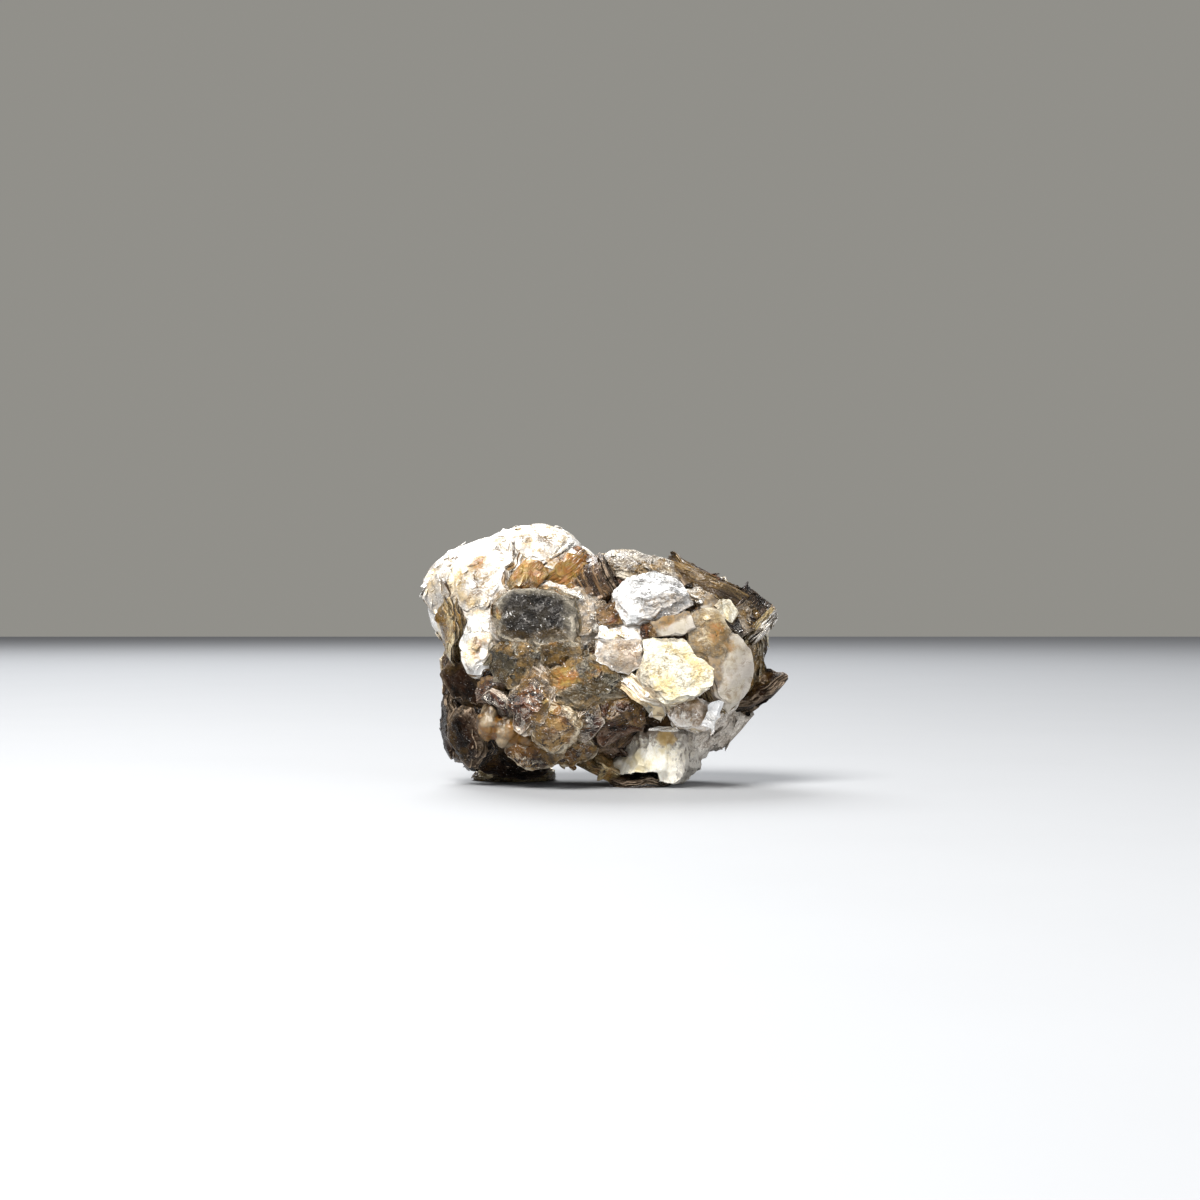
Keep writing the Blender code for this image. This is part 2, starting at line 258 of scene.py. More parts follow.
# Foil: the relief of a mica face, with fold lines that run along the sheet, fibers, facets and painted
# glints, and with painted shine lines, a random lightness per facet that is painted light and shade, and
# painted flashes on some facets.
# A pair of numbers is where a noise begins to count and where it counts in full
foilValues = dict(
    warpPerMm=0.33, warpReach=3.4,
    foldStretch=(0.42, 1.45, 0.3), foldPatchPerMm=0.3, foldPatch=(0.46, 0.62),
    shineFiner=1.7, shineShift=(13.7, 5.1, 2.2), shinePatchPerMm=0.42, shinePatch=(0.44, 0.6),
    fiberStretch=0.7, fibers=(0.36, 0.64), mottlePerMm=0.55, mottle=(0.34, 0.64),
    jagPerMm=2.2, jagReach=0.9, facetStretch=(0.75, 1.35, 1.0), flash=(0.74, 0.8),
    twistPerMm=0.5, twistReach=5.0, speckStretch=(1.5, 3.4, 2.0), speckReach=0.46, specks=(0.7, 0.8),
    finePerMm=2.4, grainPerMm=3.6, grain=(0.32, 0.68),
    facetHeight=1.3, foldHeight=0.9, fineHeight=0.45, fiberHeight=0.05, foldDepth=0.22,
)


def buildFoilGroup(values):
    inputs = {"Folds per mm": 0.5, "Fold width": 0.05, "Fibers per mm": 4.0, "Facets per mm": 1.1}
    outputs = ("Height", "Folds", "PaintedShine", "Mottle", "Fibers", "PaintedGlints", "Facets", "PaintedFlash", "Grain")
    group, given, out = newGroup("micaFoil", inputs, outputs)
    solid = placeInMm(group)
    sheet = attribute(group, "sheetPlace", "Vector")
    flow = vectorCalc(group, "ADD", sheet, push(group, solid, values["warpPerMm"], values["warpReach"]))

    along = scaled(group, vectorCalc(group, "MULTIPLY", flow, values["foldStretch"]), given["Folds per mm"])
    foldNoise = noise(group, along, 1.0, 5.0, 0.62)
    foldPatch = smoothRange(group, noise(group, solid, values["foldPatchPerMm"]), *values["foldPatch"])
    folds = times(group, middleLines(group, foldNoise, given["Fold width"]), foldPatch)
    # painted shine: bright lines beside the folds that stand in for glare, a painted highlight
    shifted = vectorCalc(group, "ADD", scaled(group, along, values["shineFiner"]), values["shineShift"])
    paintedShineLines = middleLines(group, noise(group, shifted, 1.0, 4.0, 0.6), given["Fold width"])
    shineCloud = noise(group, solid, values["shinePatchPerMm"], 2.0)
    shinePatch = smoothRange(group, shineCloud, *values["shinePatch"])
    shine = times(group, paintedShineLines, times(group, shinePatch, minus(group, 1.0, folds)))

    x, y, z = splitAxes(group, flow)
    acrossFibers = times(group, y, given["Fibers per mm"])
    combed = joinAxes(group, times(group, x, values["fiberStretch"]), acrossFibers, z)
    fibers = smoothRange(group, noise(group, combed, 1.0, 3.0, 0.6), *values["fibers"])
    mottle = smoothRange(group, noise(group, solid, values["mottlePerMm"], 6.0, 0.7), *values["mottle"])

    # each facet leans its own way: the height rises along a direction that is random for every cell
    jagged = push(group, solid, values["jagPerMm"], values["jagReach"], 3.0, 0.65)
    cellFlow = vectorCalc(group, "MULTIPLY", vectorCalc(group, "ADD", flow, jagged), values["facetStretch"])
    cellPlace = scaled(group, cellFlow, given["Facets per mm"])
    cells, cellShade = cellNoise(group, cellPlace)
    within = vectorCalc(group, "SUBTRACT", cellPlace, cells["Position"])
    lean = vectorCalc(group, "SUBTRACT", cells["Color"], (0.5, 0.5, 0.5))
    facets = vectorCalc(group, "DOT_PRODUCT", within, lean)
    # some facets are picked for a painted flash, a painted highlight that the face finishes lay over the
    # colour
    flash = smoothRange(group, cellShade["Blue"], *values["flash"])

    # painted glints: small bright specks that stand in for sparkle
    twist = scaled(group, noise(group, solid, values["twistPerMm"], color=True), values["twistReach"])
    twisted = vectorCalc(group, "MULTIPLY", vectorCalc(group, "ADD", flow, twist), values["speckStretch"])
    specks, speckShade = cellNoise(group, twisted)
    reach = times(group, speckShade["Green"], values["speckReach"])
    near = smoothRange(group, specks["Distance"], reach, times(group, reach, 0.5))
    paintedGlints = times(group, near, smoothRange(group, speckShade["Red"], *values["specks"]))

    fine = noise(group, solid, values["finePerMm"], 4.0, 0.65)
    grain = smoothRange(group, noise(group, solid, values["grainPerMm"], 3.0, 0.65), *values["grain"])
    height = times(group, facets, values["facetHeight"])
    height = plus(group, height, times(group, foldNoise, values["foldHeight"]))
    height = plus(group, height, times(group, fine, values["fineHeight"]))
    height = plus(group, height, times(group, fibers, values["fiberHeight"]))
    height = minus(group, height, times(group, folds, values["foldDepth"]))
    made = (height, folds, shine, mottle, fibers, paintedGlints, cellShade["Green"], flash, grain)
    for label, value in zip(outputs, made):
        group.links.new(value, out[label])
    return group


# Rim: nearness to the edge of a book, with arcs that follow the outline and rays that cross it
rimValues = dict(
    raggedPerMm=0.5, raggedReach=0.6, width=0.3, arcTurns=1.6, raySteps=2.2, rayShift=4.0, lines=(0.44, 0.6),
)


def buildRimGroup(values):
    inputs = {"Start": 0.6, "Arcs": 11.0, "Rays": 12.0}
    group, given, out = newGroup("bookRim", inputs, ("Rim", "Arcs", "Rays"))
    sheet = attribute(group, "sheetPlace", "Vector")
    ragged = minus(group, noise(group, sheet, values["raggedPerMm"], 4.0, 0.6), 0.5)
    uneven = plus(group, attribute(group, "rimShare"), times(group, ragged, values["raggedReach"]))
    around = vectorCalc(group, "NORMALIZE", vectorCalc(group, "MULTIPLY", sheet, (1.0, 1.0, 0.0)))

    def polar(turns, steps, shift):
        x, y, _ = splitAxes(group, scaled(group, around, turns))
        return joinAxes(group, x, y, times(group, plus(group, uneven, shift), steps))

    arcs = noise(group, polar(values["arcTurns"], given["Arcs"], 0.0), 1.0, 3.0, 0.6)
    rays = noise(group, polar(given["Rays"], values["raySteps"], values["rayShift"]), 1.0, 3.0, 0.65)
    full = plus(group, given["Start"], values["width"])
    group.links.new(smoothRange(group, uneven, given["Start"], full), out["Rim"])
    group.links.new(smoothRange(group, arcs, *values["lines"]), out["Arcs"])
    group.links.new(smoothRange(group, rays, *values["lines"]), out["Rays"])
    return group


# Sheet edges: fine light and dark lines along the broken side of a book
edgeValues = dict(
    lineAround=0.28, lines=(0.4, 0.6),
    bandAround=0.16, bandPerMm=0.9, bandShift=31.0, bands=(0.42, 0.58),
    gapAround=0.22, gapPerMm=1.3, gapShift=57.0,
)


def buildEdgeGroup(values):
    inputs = {"Lines per mm": 3.5, "Gap width": 0.035}
    group, given, out = newGroup("sheetEdges", inputs, ("Lines", "Bands", "Gaps"))
    x, y, z = splitAxes(group, attribute(group, "sheetPlace", "Vector"))

    def layered(around, through, shift):
        level = timesPlus(group, z, through, shift)
        return joinAxes(group, times(group, x, around), times(group, y, around), level)

    lines = layered(values["lineAround"], given["Lines per mm"], 0.0)
    bands = layered(values["bandAround"], values["bandPerMm"], values["bandShift"])
    gaps = layered(values["gapAround"], values["gapPerMm"], values["gapShift"])
    lineNoise = noise(group, lines, 1.0, 3.0, 0.65)
    bandNoise = noise(group, bands, 1.0, 2.0, 0.5)
    gapNoise = noise(group, gaps, 1.0, 3.0, 0.6)
    group.links.new(smoothRange(group, lineNoise, *values["lines"]), out["Lines"])
    group.links.new(smoothRange(group, bandNoise, *values["bands"]), out["Bands"])
    group.links.new(middleLines(group, gapNoise, given["Gap width"]), out["Gaps"])
    return group


# Iron stain: soft rusty patches, thick where the stain attribute is high
stainValues = dict(cloudPerMm=0.62, placed=0.6, mask=(0.68, 0.95), shadePerMm=1.0, shade=(0.38, 0.6))


def buildStainGroup(values):
    group, given, out = newGroup("ironStain", {"Spread": 0.0}, ("Mask", "Shade"))
    solid = placeInMm(group)
    cloud = noise(group, solid, values["cloudPerMm"], 6.0, 0.7)
    placed = times(group, attribute(group, "stain"), values["placed"])
    amount = plus(group, placed, plus(group, cloud, given["Spread"]))
    shade = noise(group, solid, values["shadePerMm"], 4.0, 0.65)
    group.links.new(smoothRange(group, amount, *values["mask"]), out["Mask"])
    group.links.new(smoothRange(group, shade, *values["shade"]), out["Shade"])
    return group


foilGroup = buildFoilGroup(foilValues)
rimGroup = buildRimGroup(rimValues)
edgeGroup = buildEdgeGroup(edgeValues)
stainGroup = buildStainGroup(stainValues)
print("node groups built:", len(bpy.data.node_groups))


# Finishes of the cleaved faces. dark, light: the two main shades; share: how much of the face is light;
# tint: a second shade in broad patches; fold: lines on the face; shine: the colour of the painted highlight
# lines and painted flashes; rim: what the edge turns to
faceFinishes = {
    "silverFoil": dict(dark=(0.34, 0.25, 0.13), light=(0.97, 0.96, 0.93), share=0.33,
                       tint=(0.80, 0.60, 0.29), tintShare=0.36, fold=(0.11, 0.055, 0.018), foldAmount=0.9,
                       shine=(1.0, 1.0, 0.98), shineAmount=0.7, rim=(0.98, 0.97, 0.94), rimAmount=0.6,
                       folds=0.5, width=0.06, facets=0.8, depth=0.6, metal=0.15, rough=0.33, stain=-0.02,
                       coat=0.15, glint=0.3, tones=0.3, seam=0.5, thin=0.35, soft=0.26),
    "whitePlate": dict(dark=(0.27, 0.26, 0.24), light=(0.84, 0.84, 0.84), share=0.34,
                       tint=(0.72, 0.70, 0.67), tintShare=0.45, fold=(0.09, 0.08, 0.065), foldAmount=0.8,
                       shine=(1.0, 1.0, 1.0), shineAmount=0.8, rim=(0.98, 0.98, 0.97), rimAmount=0.5,
                       folds=0.8, width=0.05, facets=0.9, depth=0.85, metal=0.2, rough=0.3, stain=-0.14,
                       coat=0.15, glint=0.3, tones=0.25, seam=0.5, thin=0.1, soft=0.24),
    "creamFace": dict(dark=(0.33, 0.255, 0.13), light=(0.74, 0.70, 0.56), share=0.38,
                      tint=(0.74, 0.58, 0.26), tintShare=0.5, fold=(0.17, 0.12, 0.06), foldAmount=0.75,
                      shine=(1.0, 0.99, 0.94), shineAmount=0.6, rim=(0.97, 0.94, 0.84), rimAmount=0.5,
                      folds=0.85, width=0.035, facets=1.6, depth=0.65, metal=0.05, rough=0.42,
                      stain=-0.02, coat=0.1, glint=0.2, tones=0.25, seam=0.5, flash=0.15, grain=0.5,
                      soft=0.22),
    "darkHeart": dict(dark=(0.0022, 0.0016, 0.0012), light=(0.017, 0.014, 0.011), share=0.55,
                      tint=(0.026, 0.019, 0.009), tintShare=0.4, fold=(0.004, 0.003, 0.002),
                      foldAmount=0.6, shine=(0.34, 0.32, 0.30), shineAmount=0.4, rim=(0.36, 0.32, 0.25),
                      rimAmount=0.9, folds=0.8, width=0.04, facets=1.4, depth=0.6, metal=0.08, rough=0.2,
                      stain=-0.16, coat=0.02, glint=0.6, gloss=0.22, rimStart=0.64, seam=0.2, line=0.0,
                      thin=0.27, flash=0.35, soft=0.2),
    "silverRim": dict(dark=(0.10, 0.065, 0.032), light=(0.88, 0.84, 0.77), share=0.46,
                      tint=(0.44, 0.34, 0.20), tintShare=0.4, fold=(0.05, 0.03, 0.013), foldAmount=0.9,
                      shine=(1.0, 0.98, 0.94), shineAmount=0.95, rim=(0.92, 0.89, 0.83), rimAmount=0.95,
                      folds=0.62, width=0.06, facets=1.1, depth=0.7, metal=0.2, rough=0.2, stain=-0.1,
                      coat=0.15, glint=0.5, rimStart=0.3, tones=0.5, line=0.3, thin=0.2, flash=0.5,
                      soft=0.18),
    "oliveFace": dict(dark=(0.006, 0.0045, 0.0022), light=(0.076, 0.061, 0.033), share=0.64,
                      tint=(0.070, 0.040, 0.008), tintShare=0.45, fold=(0.02, 0.013, 0.005),
                      foldAmount=0.6, shine=(0.60, 0.56, 0.46), shineAmount=0.4, rim=(0.55, 0.48, 0.36),
                      rimAmount=0.55, folds=0.6, width=0.05, facets=1.1, depth=0.6, metal=0.1, rough=0.19,
                      stain=-0.02, coat=0.05, glint=0.6, gloss=0.3, rimStart=0.66, line=0.3, flash=0.35,
                      soft=0.14, thin=0.2),
    "brownShell": dict(dark=(0.005, 0.0016, 0.0006), light=(0.135, 0.056, 0.019), share=0.67,
                       tint=(0.075, 0.018, 0.004), tintShare=0.45, fold=(0.02, 0.008, 0.004),
                       foldAmount=0.7, shine=(0.85, 0.78, 0.68), shineAmount=0.6, rim=(0.80, 0.70, 0.58),
                       rimAmount=0.85, folds=0.55, width=0.055, facets=1.0, depth=0.65, metal=0.1,
                       rough=0.18, stain=-0.06, coat=0.1, glint=0.7, gloss=0.35, rimStart=0.68, line=0.6,
                       flash=0.5, thin=0.22, soft=0.14),
    "amberFlake": dict(dark=(0.015, 0.006, 0.002), light=(0.27, 0.165, 0.058), share=0.62,
                       tint=(0.23, 0.095, 0.012), tintShare=0.45, fold=(0.06, 0.028, 0.010),
                       foldAmount=0.7, shine=(0.88, 0.82, 0.70), shineAmount=0.45, rim=(0.80, 0.70, 0.52),
                       rimAmount=0.75, folds=0.5, width=0.05, facets=0.9, depth=0.6, metal=0.05,
                       rough=0.18, stain=-0.03, coat=0.1, glint=0.5, gloss=0.35, rimStart=0.7, line=0.5,
                       flash=0.35, thin=0.25, soft=0.18),
    "beigeSatin": dict(dark=(0.27, 0.21, 0.135), light=(0.445, 0.395, 0.31), share=0.4,
                       tint=(0.44, 0.40, 0.36), tintShare=0.5, fold=(0.13, 0.08, 0.04), foldAmount=0.55,
                       shine=(0.70, 0.66, 0.60), shineAmount=0.4, rim=(0.70, 0.65, 0.57), rimAmount=0.5,
                       folds=0.32, width=0.035, facets=0.5, depth=0.2, metal=0.1, rough=0.38, stain=-0.04,
                       coat=0.1, glint=0.1, tones=0.3, seam=0.8, flash=0.1, grain=0.2),
    "pinkStep": dict(dark=(0.29, 0.20, 0.125), light=(0.65, 0.60, 0.53), share=0.46,
                     tint=(0.62, 0.47, 0.34), tintShare=0.45, fold=(0.12, 0.06, 0.03), foldAmount=0.75,
                     shine=(0.98, 0.95, 0.90), shineAmount=0.7, rim=(1.0, 0.98, 0.95), rimAmount=0.6,
                     folds=0.6, width=0.045, facets=1.2, depth=0.5, metal=0.15, rough=0.28, stain=-0.02,
                     coat=0.1, glint=0.3, seam=0.6, flash=0.3, line=0.7, soft=0.2),
    "darkPlate": dict(dark=(0.003, 0.002, 0.0012), light=(0.012, 0.006, 0.0026), share=0.6,
                      tint=(0.022, 0.008, 0.0026), tintShare=0.4, fold=(0.004, 0.002, 0.0015),
                      foldAmount=0.6, shine=(0.20, 0.15, 0.11), shineAmount=0.2, rim=(0.32, 0.24, 0.17),
                      rimAmount=0.3, folds=0.6, width=0.045, facets=1.1, depth=0.55, metal=0.02,
                      rough=0.15, stain=-0.2, coat=0.02, glint=0.2, gloss=0.05, seam=0.15, line=0.75,
                      thin=0.05, flash=0.12, soft=0.2),
    "brownGlitter": dict(dark=(0.009, 0.003, 0.001), light=(0.15, 0.058, 0.02), share=0.55,
                         tint=(0.08, 0.028, 0.010), tintShare=0.45, fold=(0.008, 0.004, 0.002),
                         foldAmount=0.7, shine=(0.60, 0.50, 0.42), shineAmount=0.45,
                         rim=(0.46, 0.34, 0.25), rimAmount=0.5, folds=0.9, width=0.05, facets=1.7,
                         depth=0.8, metal=0.08, rough=0.18, stain=-0.1, coat=0.15, glint=1.0, gloss=0.35,
                         line=0.1, flash=0.35, soft=0.18),
    "darkGlitter": dict(dark=(0.002, 0.0011, 0.0006), light=(0.015, 0.007, 0.0035), share=0.66,
                        tint=(0.028, 0.009, 0.003), tintShare=0.35, fold=(0.004, 0.002, 0.001),
                        foldAmount=0.7, shine=(0.80, 0.76, 0.70), shineAmount=0.4, rim=(0.40, 0.34, 0.27),
                        rimAmount=0.4, folds=0.9, width=0.05, facets=1.9, depth=0.9, metal=0.08,
                        rough=0.16, stain=-0.2, coat=0.04, glint=1.0, gloss=0.25, line=0.5, flash=0.25,
                        soft=0.14, rimStart=0.7),
    "greyFlank": dict(dark=(0.47, 0.395, 0.32), light=(0.99, 0.93, 0.84), share=0.48,
                      tint=(0.44, 0.38, 0.32), tintShare=0.4, fold=(0.12, 0.09, 0.065), foldAmount=0.7,
                      shine=(0.58, 0.53, 0.47), shineAmount=0.4, rim=(0.56, 0.50, 0.43), rimAmount=0.3,
                      folds=0.9, width=0.05, facets=1.6, depth=0.8, metal=0.05, rough=0.45, stain=-0.12,
                      coat=0.05, glint=0.3, seam=0.2, line=0.0, tones=0.1, flash=0.1, grain=0.6,
                      soft=0.24),
    "oliveBeige": dict(dark=(0.15, 0.10, 0.045), light=(0.50, 0.41, 0.26), share=0.45,
                       tint=(0.30, 0.21, 0.09), tintShare=0.5, fold=(0.09, 0.05, 0.018), foldAmount=0.7,
                       shine=(0.75, 0.70, 0.60), shineAmount=0.6, rim=(0.66, 0.60, 0.48), rimAmount=0.5,
                       folds=0.7, width=0.045, facets=0.9, depth=0.4, metal=0.1, rough=0.28, stain=0.0,
                       coat=0.1, glint=0.2, flash=0.2),
    "mottledFace": dict(dark=(0.085, 0.060, 0.036), light=(0.50, 0.45, 0.36), share=0.58,
                        tint=(0.28, 0.20, 0.10), tintShare=0.4, fold=(0.05, 0.03, 0.015), foldAmount=0.7,
                        shine=(0.95, 0.92, 0.86), shineAmount=0.6, rim=(0.8, 0.76, 0.68), rimAmount=0.4,
                        folds=0.9, width=0.045, facets=1.7, depth=0.7, metal=0.08, rough=0.26,
                        stain=-0.02, coat=0.05, glint=0.4, soft=0.18),
    "goldFace": dict(dark=(0.06, 0.03, 0.008), light=(0.36, 0.22, 0.065), share=0.48,
                     tint=(0.33, 0.17, 0.03), tintShare=0.45, fold=(0.05, 0.022, 0.008), foldAmount=0.6,
                     shine=(0.88, 0.77, 0.52), shineAmount=0.6, rim=(0.85, 0.74, 0.48), rimAmount=0.8,
                     folds=0.5, width=0.05, facets=0.9, depth=0.6, metal=0.15, rough=0.2, stain=0.0,
                     coat=0.15, glint=0.4, flash=0.35),
}

stainColors = ((0.28, 0.175, 0.030), (0.27, 0.10, 0.009))
# the seam colours: partly rust, partly painted shade between the books
seamRustAndShadeColors = ((0.045, 0.026, 0.010), (0.21, 0.12, 0.028))


def makeFaceFinish(name, look):
    material, tree, shader = newMaterial(name)
    foil = useGroup(
        tree, foilGroup, Folds_per_mm=look["folds"], Fold_width=look["width"], Facets_per_mm=look["facets"])
    rim = useGroup(tree, rimGroup, Start=look.get("rimStart", 0.62))
    rust = useGroup(tree, stainGroup, Spread=look["stain"])
    tone = attribute(tree, "sheetTone")

    # level: how light this place is, from the mottle, the facet, the fibers and the sheet it lies on; the
    # facet's random lightness is painted light and shade of tilted facets
    level = timesPlus(tree, foil["Mottle"], 0.5, times(tree, foil["Facets"], 0.34))
    level = timesPlus(tree, foil["Fibers"], 0.16, level)
    level = timesPlus(tree, minus(tree, foil["Grain"], 0.5), look.get("grain", 0.35), level)
    level = timesPlus(tree, minus(tree, tone, 0.5), look.get("tones", 0.45), level)
    soft = look.get("soft", 0.3)
    light = smoothRange(tree, level, look["share"] - soft, look["share"] + soft)
    face = mix(tree, light, look["dark"], look["light"])
    broad = noise(tree, placeInMm(tree), 0.24, 4.0, 0.6)
    tinted = smoothRange(tree, broad, 0.6 - look["tintShare"] * 0.35, 0.78 - look["tintShare"] * 0.35)
    face = layOver(tree, face, look["tint"], tinted, 0.7)
    # painted highlight: the picked facets turn to the shine colour and grow more metallic and smoother
    flash = times(tree, foil["PaintedFlash"], look.get("flash", 0.4))
    face = layOver(tree, face, look["shine"], flash, foil["Grain"])
    face = layOver(tree, face, look["fold"], foil["Folds"], look["foldAmount"])
    # painted highlight lines in the shine colour
    face = layOver(tree, face, look["shine"], foil["PaintedShine"], times(tree, foil["Fibers"], look["shineAmount"]))
    lines = calc(tree, "MAXIMUM", rim["Arcs"], times(tree, rim["Rays"], 0.6))
    face = layOver(tree, face, look["rim"], rim["Rim"], times(tree, lines, look["rimAmount"]))
    face = layOver(tree, face, look["rim"], rim["Rim"], look.get("thin", 0.15))
    rustColor = mix(tree, rust["Shade"], *stainColors)
    face = layOver(tree, face, rustColor, rust["Mask"], timesPlus(tree, foil["Fibers"], 0.35, 0.6))

    # where another book meets this one the seam is painted darker brown, partly rust and partly painted shade
    # between the books, and the broken rim of each sheet is bright
    patches = noise(tree, placeInMm(tree), 0.8, 3.0, 0.6)
    seam = smoothRange(tree, timesPlus(tree, patches, 0.9, attribute(tree, "seam")), 0.98, 1.4)
    face = layOver(tree, face, mix(tree, rust["Shade"], *seamRustAndShadeColors), seam, look.get("seam", 0.7))
    edgeLine = smoothRange(tree, attribute(tree, "sheetRim"), 0.96, 0.99)
    edgeLine = times(tree, edgeLine, smoothRange(tree, patches, 0.56, 0.46))
    face = layOver(tree, face, look["rim"], edgeLine, look.get("line", 0.0))
    # painted glints in near white
    face = layOver(tree, face, (0.95, 0.93, 0.9), foil["PaintedGlints"], look["glint"])
    tree.links.new(face, shader.inputs["Base Color"])

    metal = timesPlus(tree, foil["PaintedShine"], 0.3, look["metal"])
    tree.links.new(plus(tree, metal, flash), shader.inputs["Metallic"])
    rough = timesPlus(tree, foil["Mottle"], 0.16, look["rough"] - 0.06)
    rough = timesPlus(tree, flash, -0.15, rough)
    tree.links.new(timesPlus(tree, rust["Mask"], 0.18, rough), shader.inputs["Roughness"])
    shader.inputs["Coat Weight"].default_value = look["coat"]
    shader.inputs["Coat Roughness"].default_value = 0.1
    shader.inputs["Specular IOR Level"].default_value = look.get("gloss", 0.5)
    tree.links.new(bumpNormal(tree, foil["Height"], look["depth"], 0.6 * mm), shader.inputs["Normal"])
    return material


# Finishes of the broken edges. gap: the dark between sheets, part brown and part painted shade of the gaps;
# line, band: the two shades of the sheet edges
edgeFinishes = {
    "paleEdge": dict(gap=(0.055, 0.027, 0.010), line=(0.92, 0.89, 0.82), band=(0.46, 0.29, 0.12),
                     metal=0.15, rough=0.34, stain=-0.04),
    "creamEdge": dict(gap=(0.20, 0.12, 0.05), line=(0.96, 0.93, 0.86), band=(0.74, 0.60, 0.38), metal=0.1,
                      rough=0.34, stain=-0.08, gaps=0.02, lines=2.6),
    "brownEdge": dict(gap=(0.010, 0.005, 0.002), line=(0.19, 0.11, 0.048), band=(0.055, 0.026, 0.010),
                      metal=0.2, rough=0.22, stain=-0.1),
    "oliveEdge": dict(gap=(0.016, 0.010, 0.004), line=(0.36, 0.27, 0.13), band=(0.12, 0.068, 0.020),
                      metal=0.2, rough=0.24, stain=-0.02),
    "orangeEdge": dict(gap=(0.035, 0.014, 0.004), line=(0.40, 0.25, 0.095), band=(0.28, 0.105, 0.014),
                       metal=0.2, rough=0.33, stain=0.08),
    "rustEdge": dict(gap=(0.02, 0.008, 0.002), line=(0.13, 0.068, 0.018), band=(0.07, 0.027, 0.005),
                     metal=0.15, rough=0.3, stain=0.04, gaps=0.06),
    "fanEdge": dict(gap=(0.014, 0.007, 0.002), line=(0.62, 0.48, 0.28), band=(0.12, 0.062, 0.018),
                    metal=0.15, rough=0.3, stain=0.02, gaps=0.2, lines=1.3, pale=0.8),
    "slabEdge": dict(gap=(0.035, 0.020, 0.007), line=(0.20, 0.124, 0.043), band=(0.042, 0.021, 0.006),
                     metal=0.15, rough=0.3, stain=-0.08, gaps=0.03, lines=2.0),
    "darkEdge": dict(gap=(0.004, 0.003, 0.002), line=(0.10, 0.068, 0.048), band=(0.016, 0.009, 0.005),
                     metal=0.2, rough=0.2, stain=-0.2),
}


def makeEdgeFinish(name, look):
    material, tree, shader = newMaterial(name)
    edges = useGroup(tree, edgeGroup, Lines_per_mm=look.get("lines", 3.2), Gap_width=look.get("gaps", 0.035))
    foil = useGroup(tree, foilGroup, Folds_per_mm=0.8, Facets_per_mm=1.6)
    rust = useGroup(tree, stainGroup, Spread=look["stain"])
    tone = attribute(tree, "sheetTone")
    color = mix(tree, edges["Bands"], look["line"], look["band"])
    color = mix(tree, smoothRange(tree, tone, look.get("pale", 0.55), 0.95), color, look["line"])
    color = mix(tree, smoothRange(tree, tone, 0.3, 0.05), color, look["band"])
    # painted shade: the dark gap colour between the sheet lines and along the gap lines, partly brown
    color = layOver(tree, color, look["gap"], minus(tree, 1.0, edges["Lines"]), 0.75)
    color = mix(tree, edges["Gaps"], color, look["gap"])
    rustColor = mix(tree, rust["Shade"], *stainColors)
    color = layOver(tree, color, rustColor, rust["Mask"], 0.65)
    # painted glints in near white
    color = layOver(tree, color, (0.9, 0.87, 0.8), foil["PaintedGlints"], 0.35)
    tree.links.new(color, shader.inputs["Base Color"])
    shader.inputs["Metallic"].default_value = look["metal"]
    rough = timesPlus(tree, foil["Mottle"], 0.16, look["rough"] - 0.06)
    tree.links.new(rough, shader.inputs["Roughness"])
    height = plus(tree, edges["Lines"], times(tree, foil["Height"], 0.6))
    tree.links.new(bumpNormal(tree, height, 0.5, 0.2 * mm), shader.inputs["Normal"])
    return material


finishes = {name: makeFaceFinish(name, look) for name, look in faceFinishes.items()}
finishes.update({name: makeEdgeFinish(name, look) for name, look in edgeFinishes.items()})
print("finishes made:", len(finishes))


# Sheets: the few discs that every book is stacked from, with their top face at zero and one unit thick.
# around: how many points on the rim; rings: the net across the face; torn: how far the rim is broken
sheetShapes = {
    "wide": dict(around=66, rings=(0.86,), torn=0.016, seed=3),
    "wideTop": dict(around=66, rings=(0.93, 0.81, 0.67, 0.52, 0.36, 0.2), torn=0.016, seed=5),
    "small": dict(around=36, rings=(0.84,), torn=0.022, seed=8),
    "smallTop": dict(around=36, rings=(0.9, 0.74, 0.56, 0.36), torn=0.022, seed=9),
    "flake": dict(around=9, rings=(), torn=0.16, seed=12),
    "chip": dict(around=14, rings=(0.8,), torn=0.10, seed=15),
}


def selectFaces(piece, wanted):
    makeActive(piece)
    bpy.ops.object.mode_set(mode="EDIT")
    bpy.ops.mesh.select_mode(type="FACE")
    bpy.ops.mesh.select_all(action="DESELECT")
    bpy.ops.object.mode_set(mode="OBJECT")
    for face in piece.data.polygons:
        face.select = wanted(face)
    bpy.ops.object.mode_set(mode="EDIT")


def makeSheet(name, shape):
    deselectAll()
    bpy.ops.mesh.primitive_cylinder_add(
        vertices=shape["around"], radius=1.0, depth=1.0, location=(0, 0, -0.5))
    sheet = bpy.context.object
    sheet.name = name
    bpy.ops.object.transform_apply(location=True)
    last = 1.0
    for share in shape["rings"]:
        selectFaces(sheet, lambda face: face.normal.z > 0.9 and len(face.vertices) > 4)
        bpy.ops.mesh.inset(thickness=0.0)
        bpy.ops.transform.resize(value=(share / last, share / last, 1.0), center_override=(0, 0, 0))
        bpy.ops.object.mode_set(mode="OBJECT")
        last = share
    selectFaces(sheet, lambda face: abs(face.normal.z) < 0.5)
    bpy.ops.transform.vertex_random(offset=shape["torn"] * 2, uniform=0.3, normal=0.0, seed=shape["seed"])
    bpy.ops.object.mode_set(mode="OBJECT")
    return sheet


sheets = {name: makeSheet(name, shape) for name, shape in sheetShapes.items()}
print("sheets modelled:", {name: len(sheet.data.polygons) for name, sheet in sheets.items()})


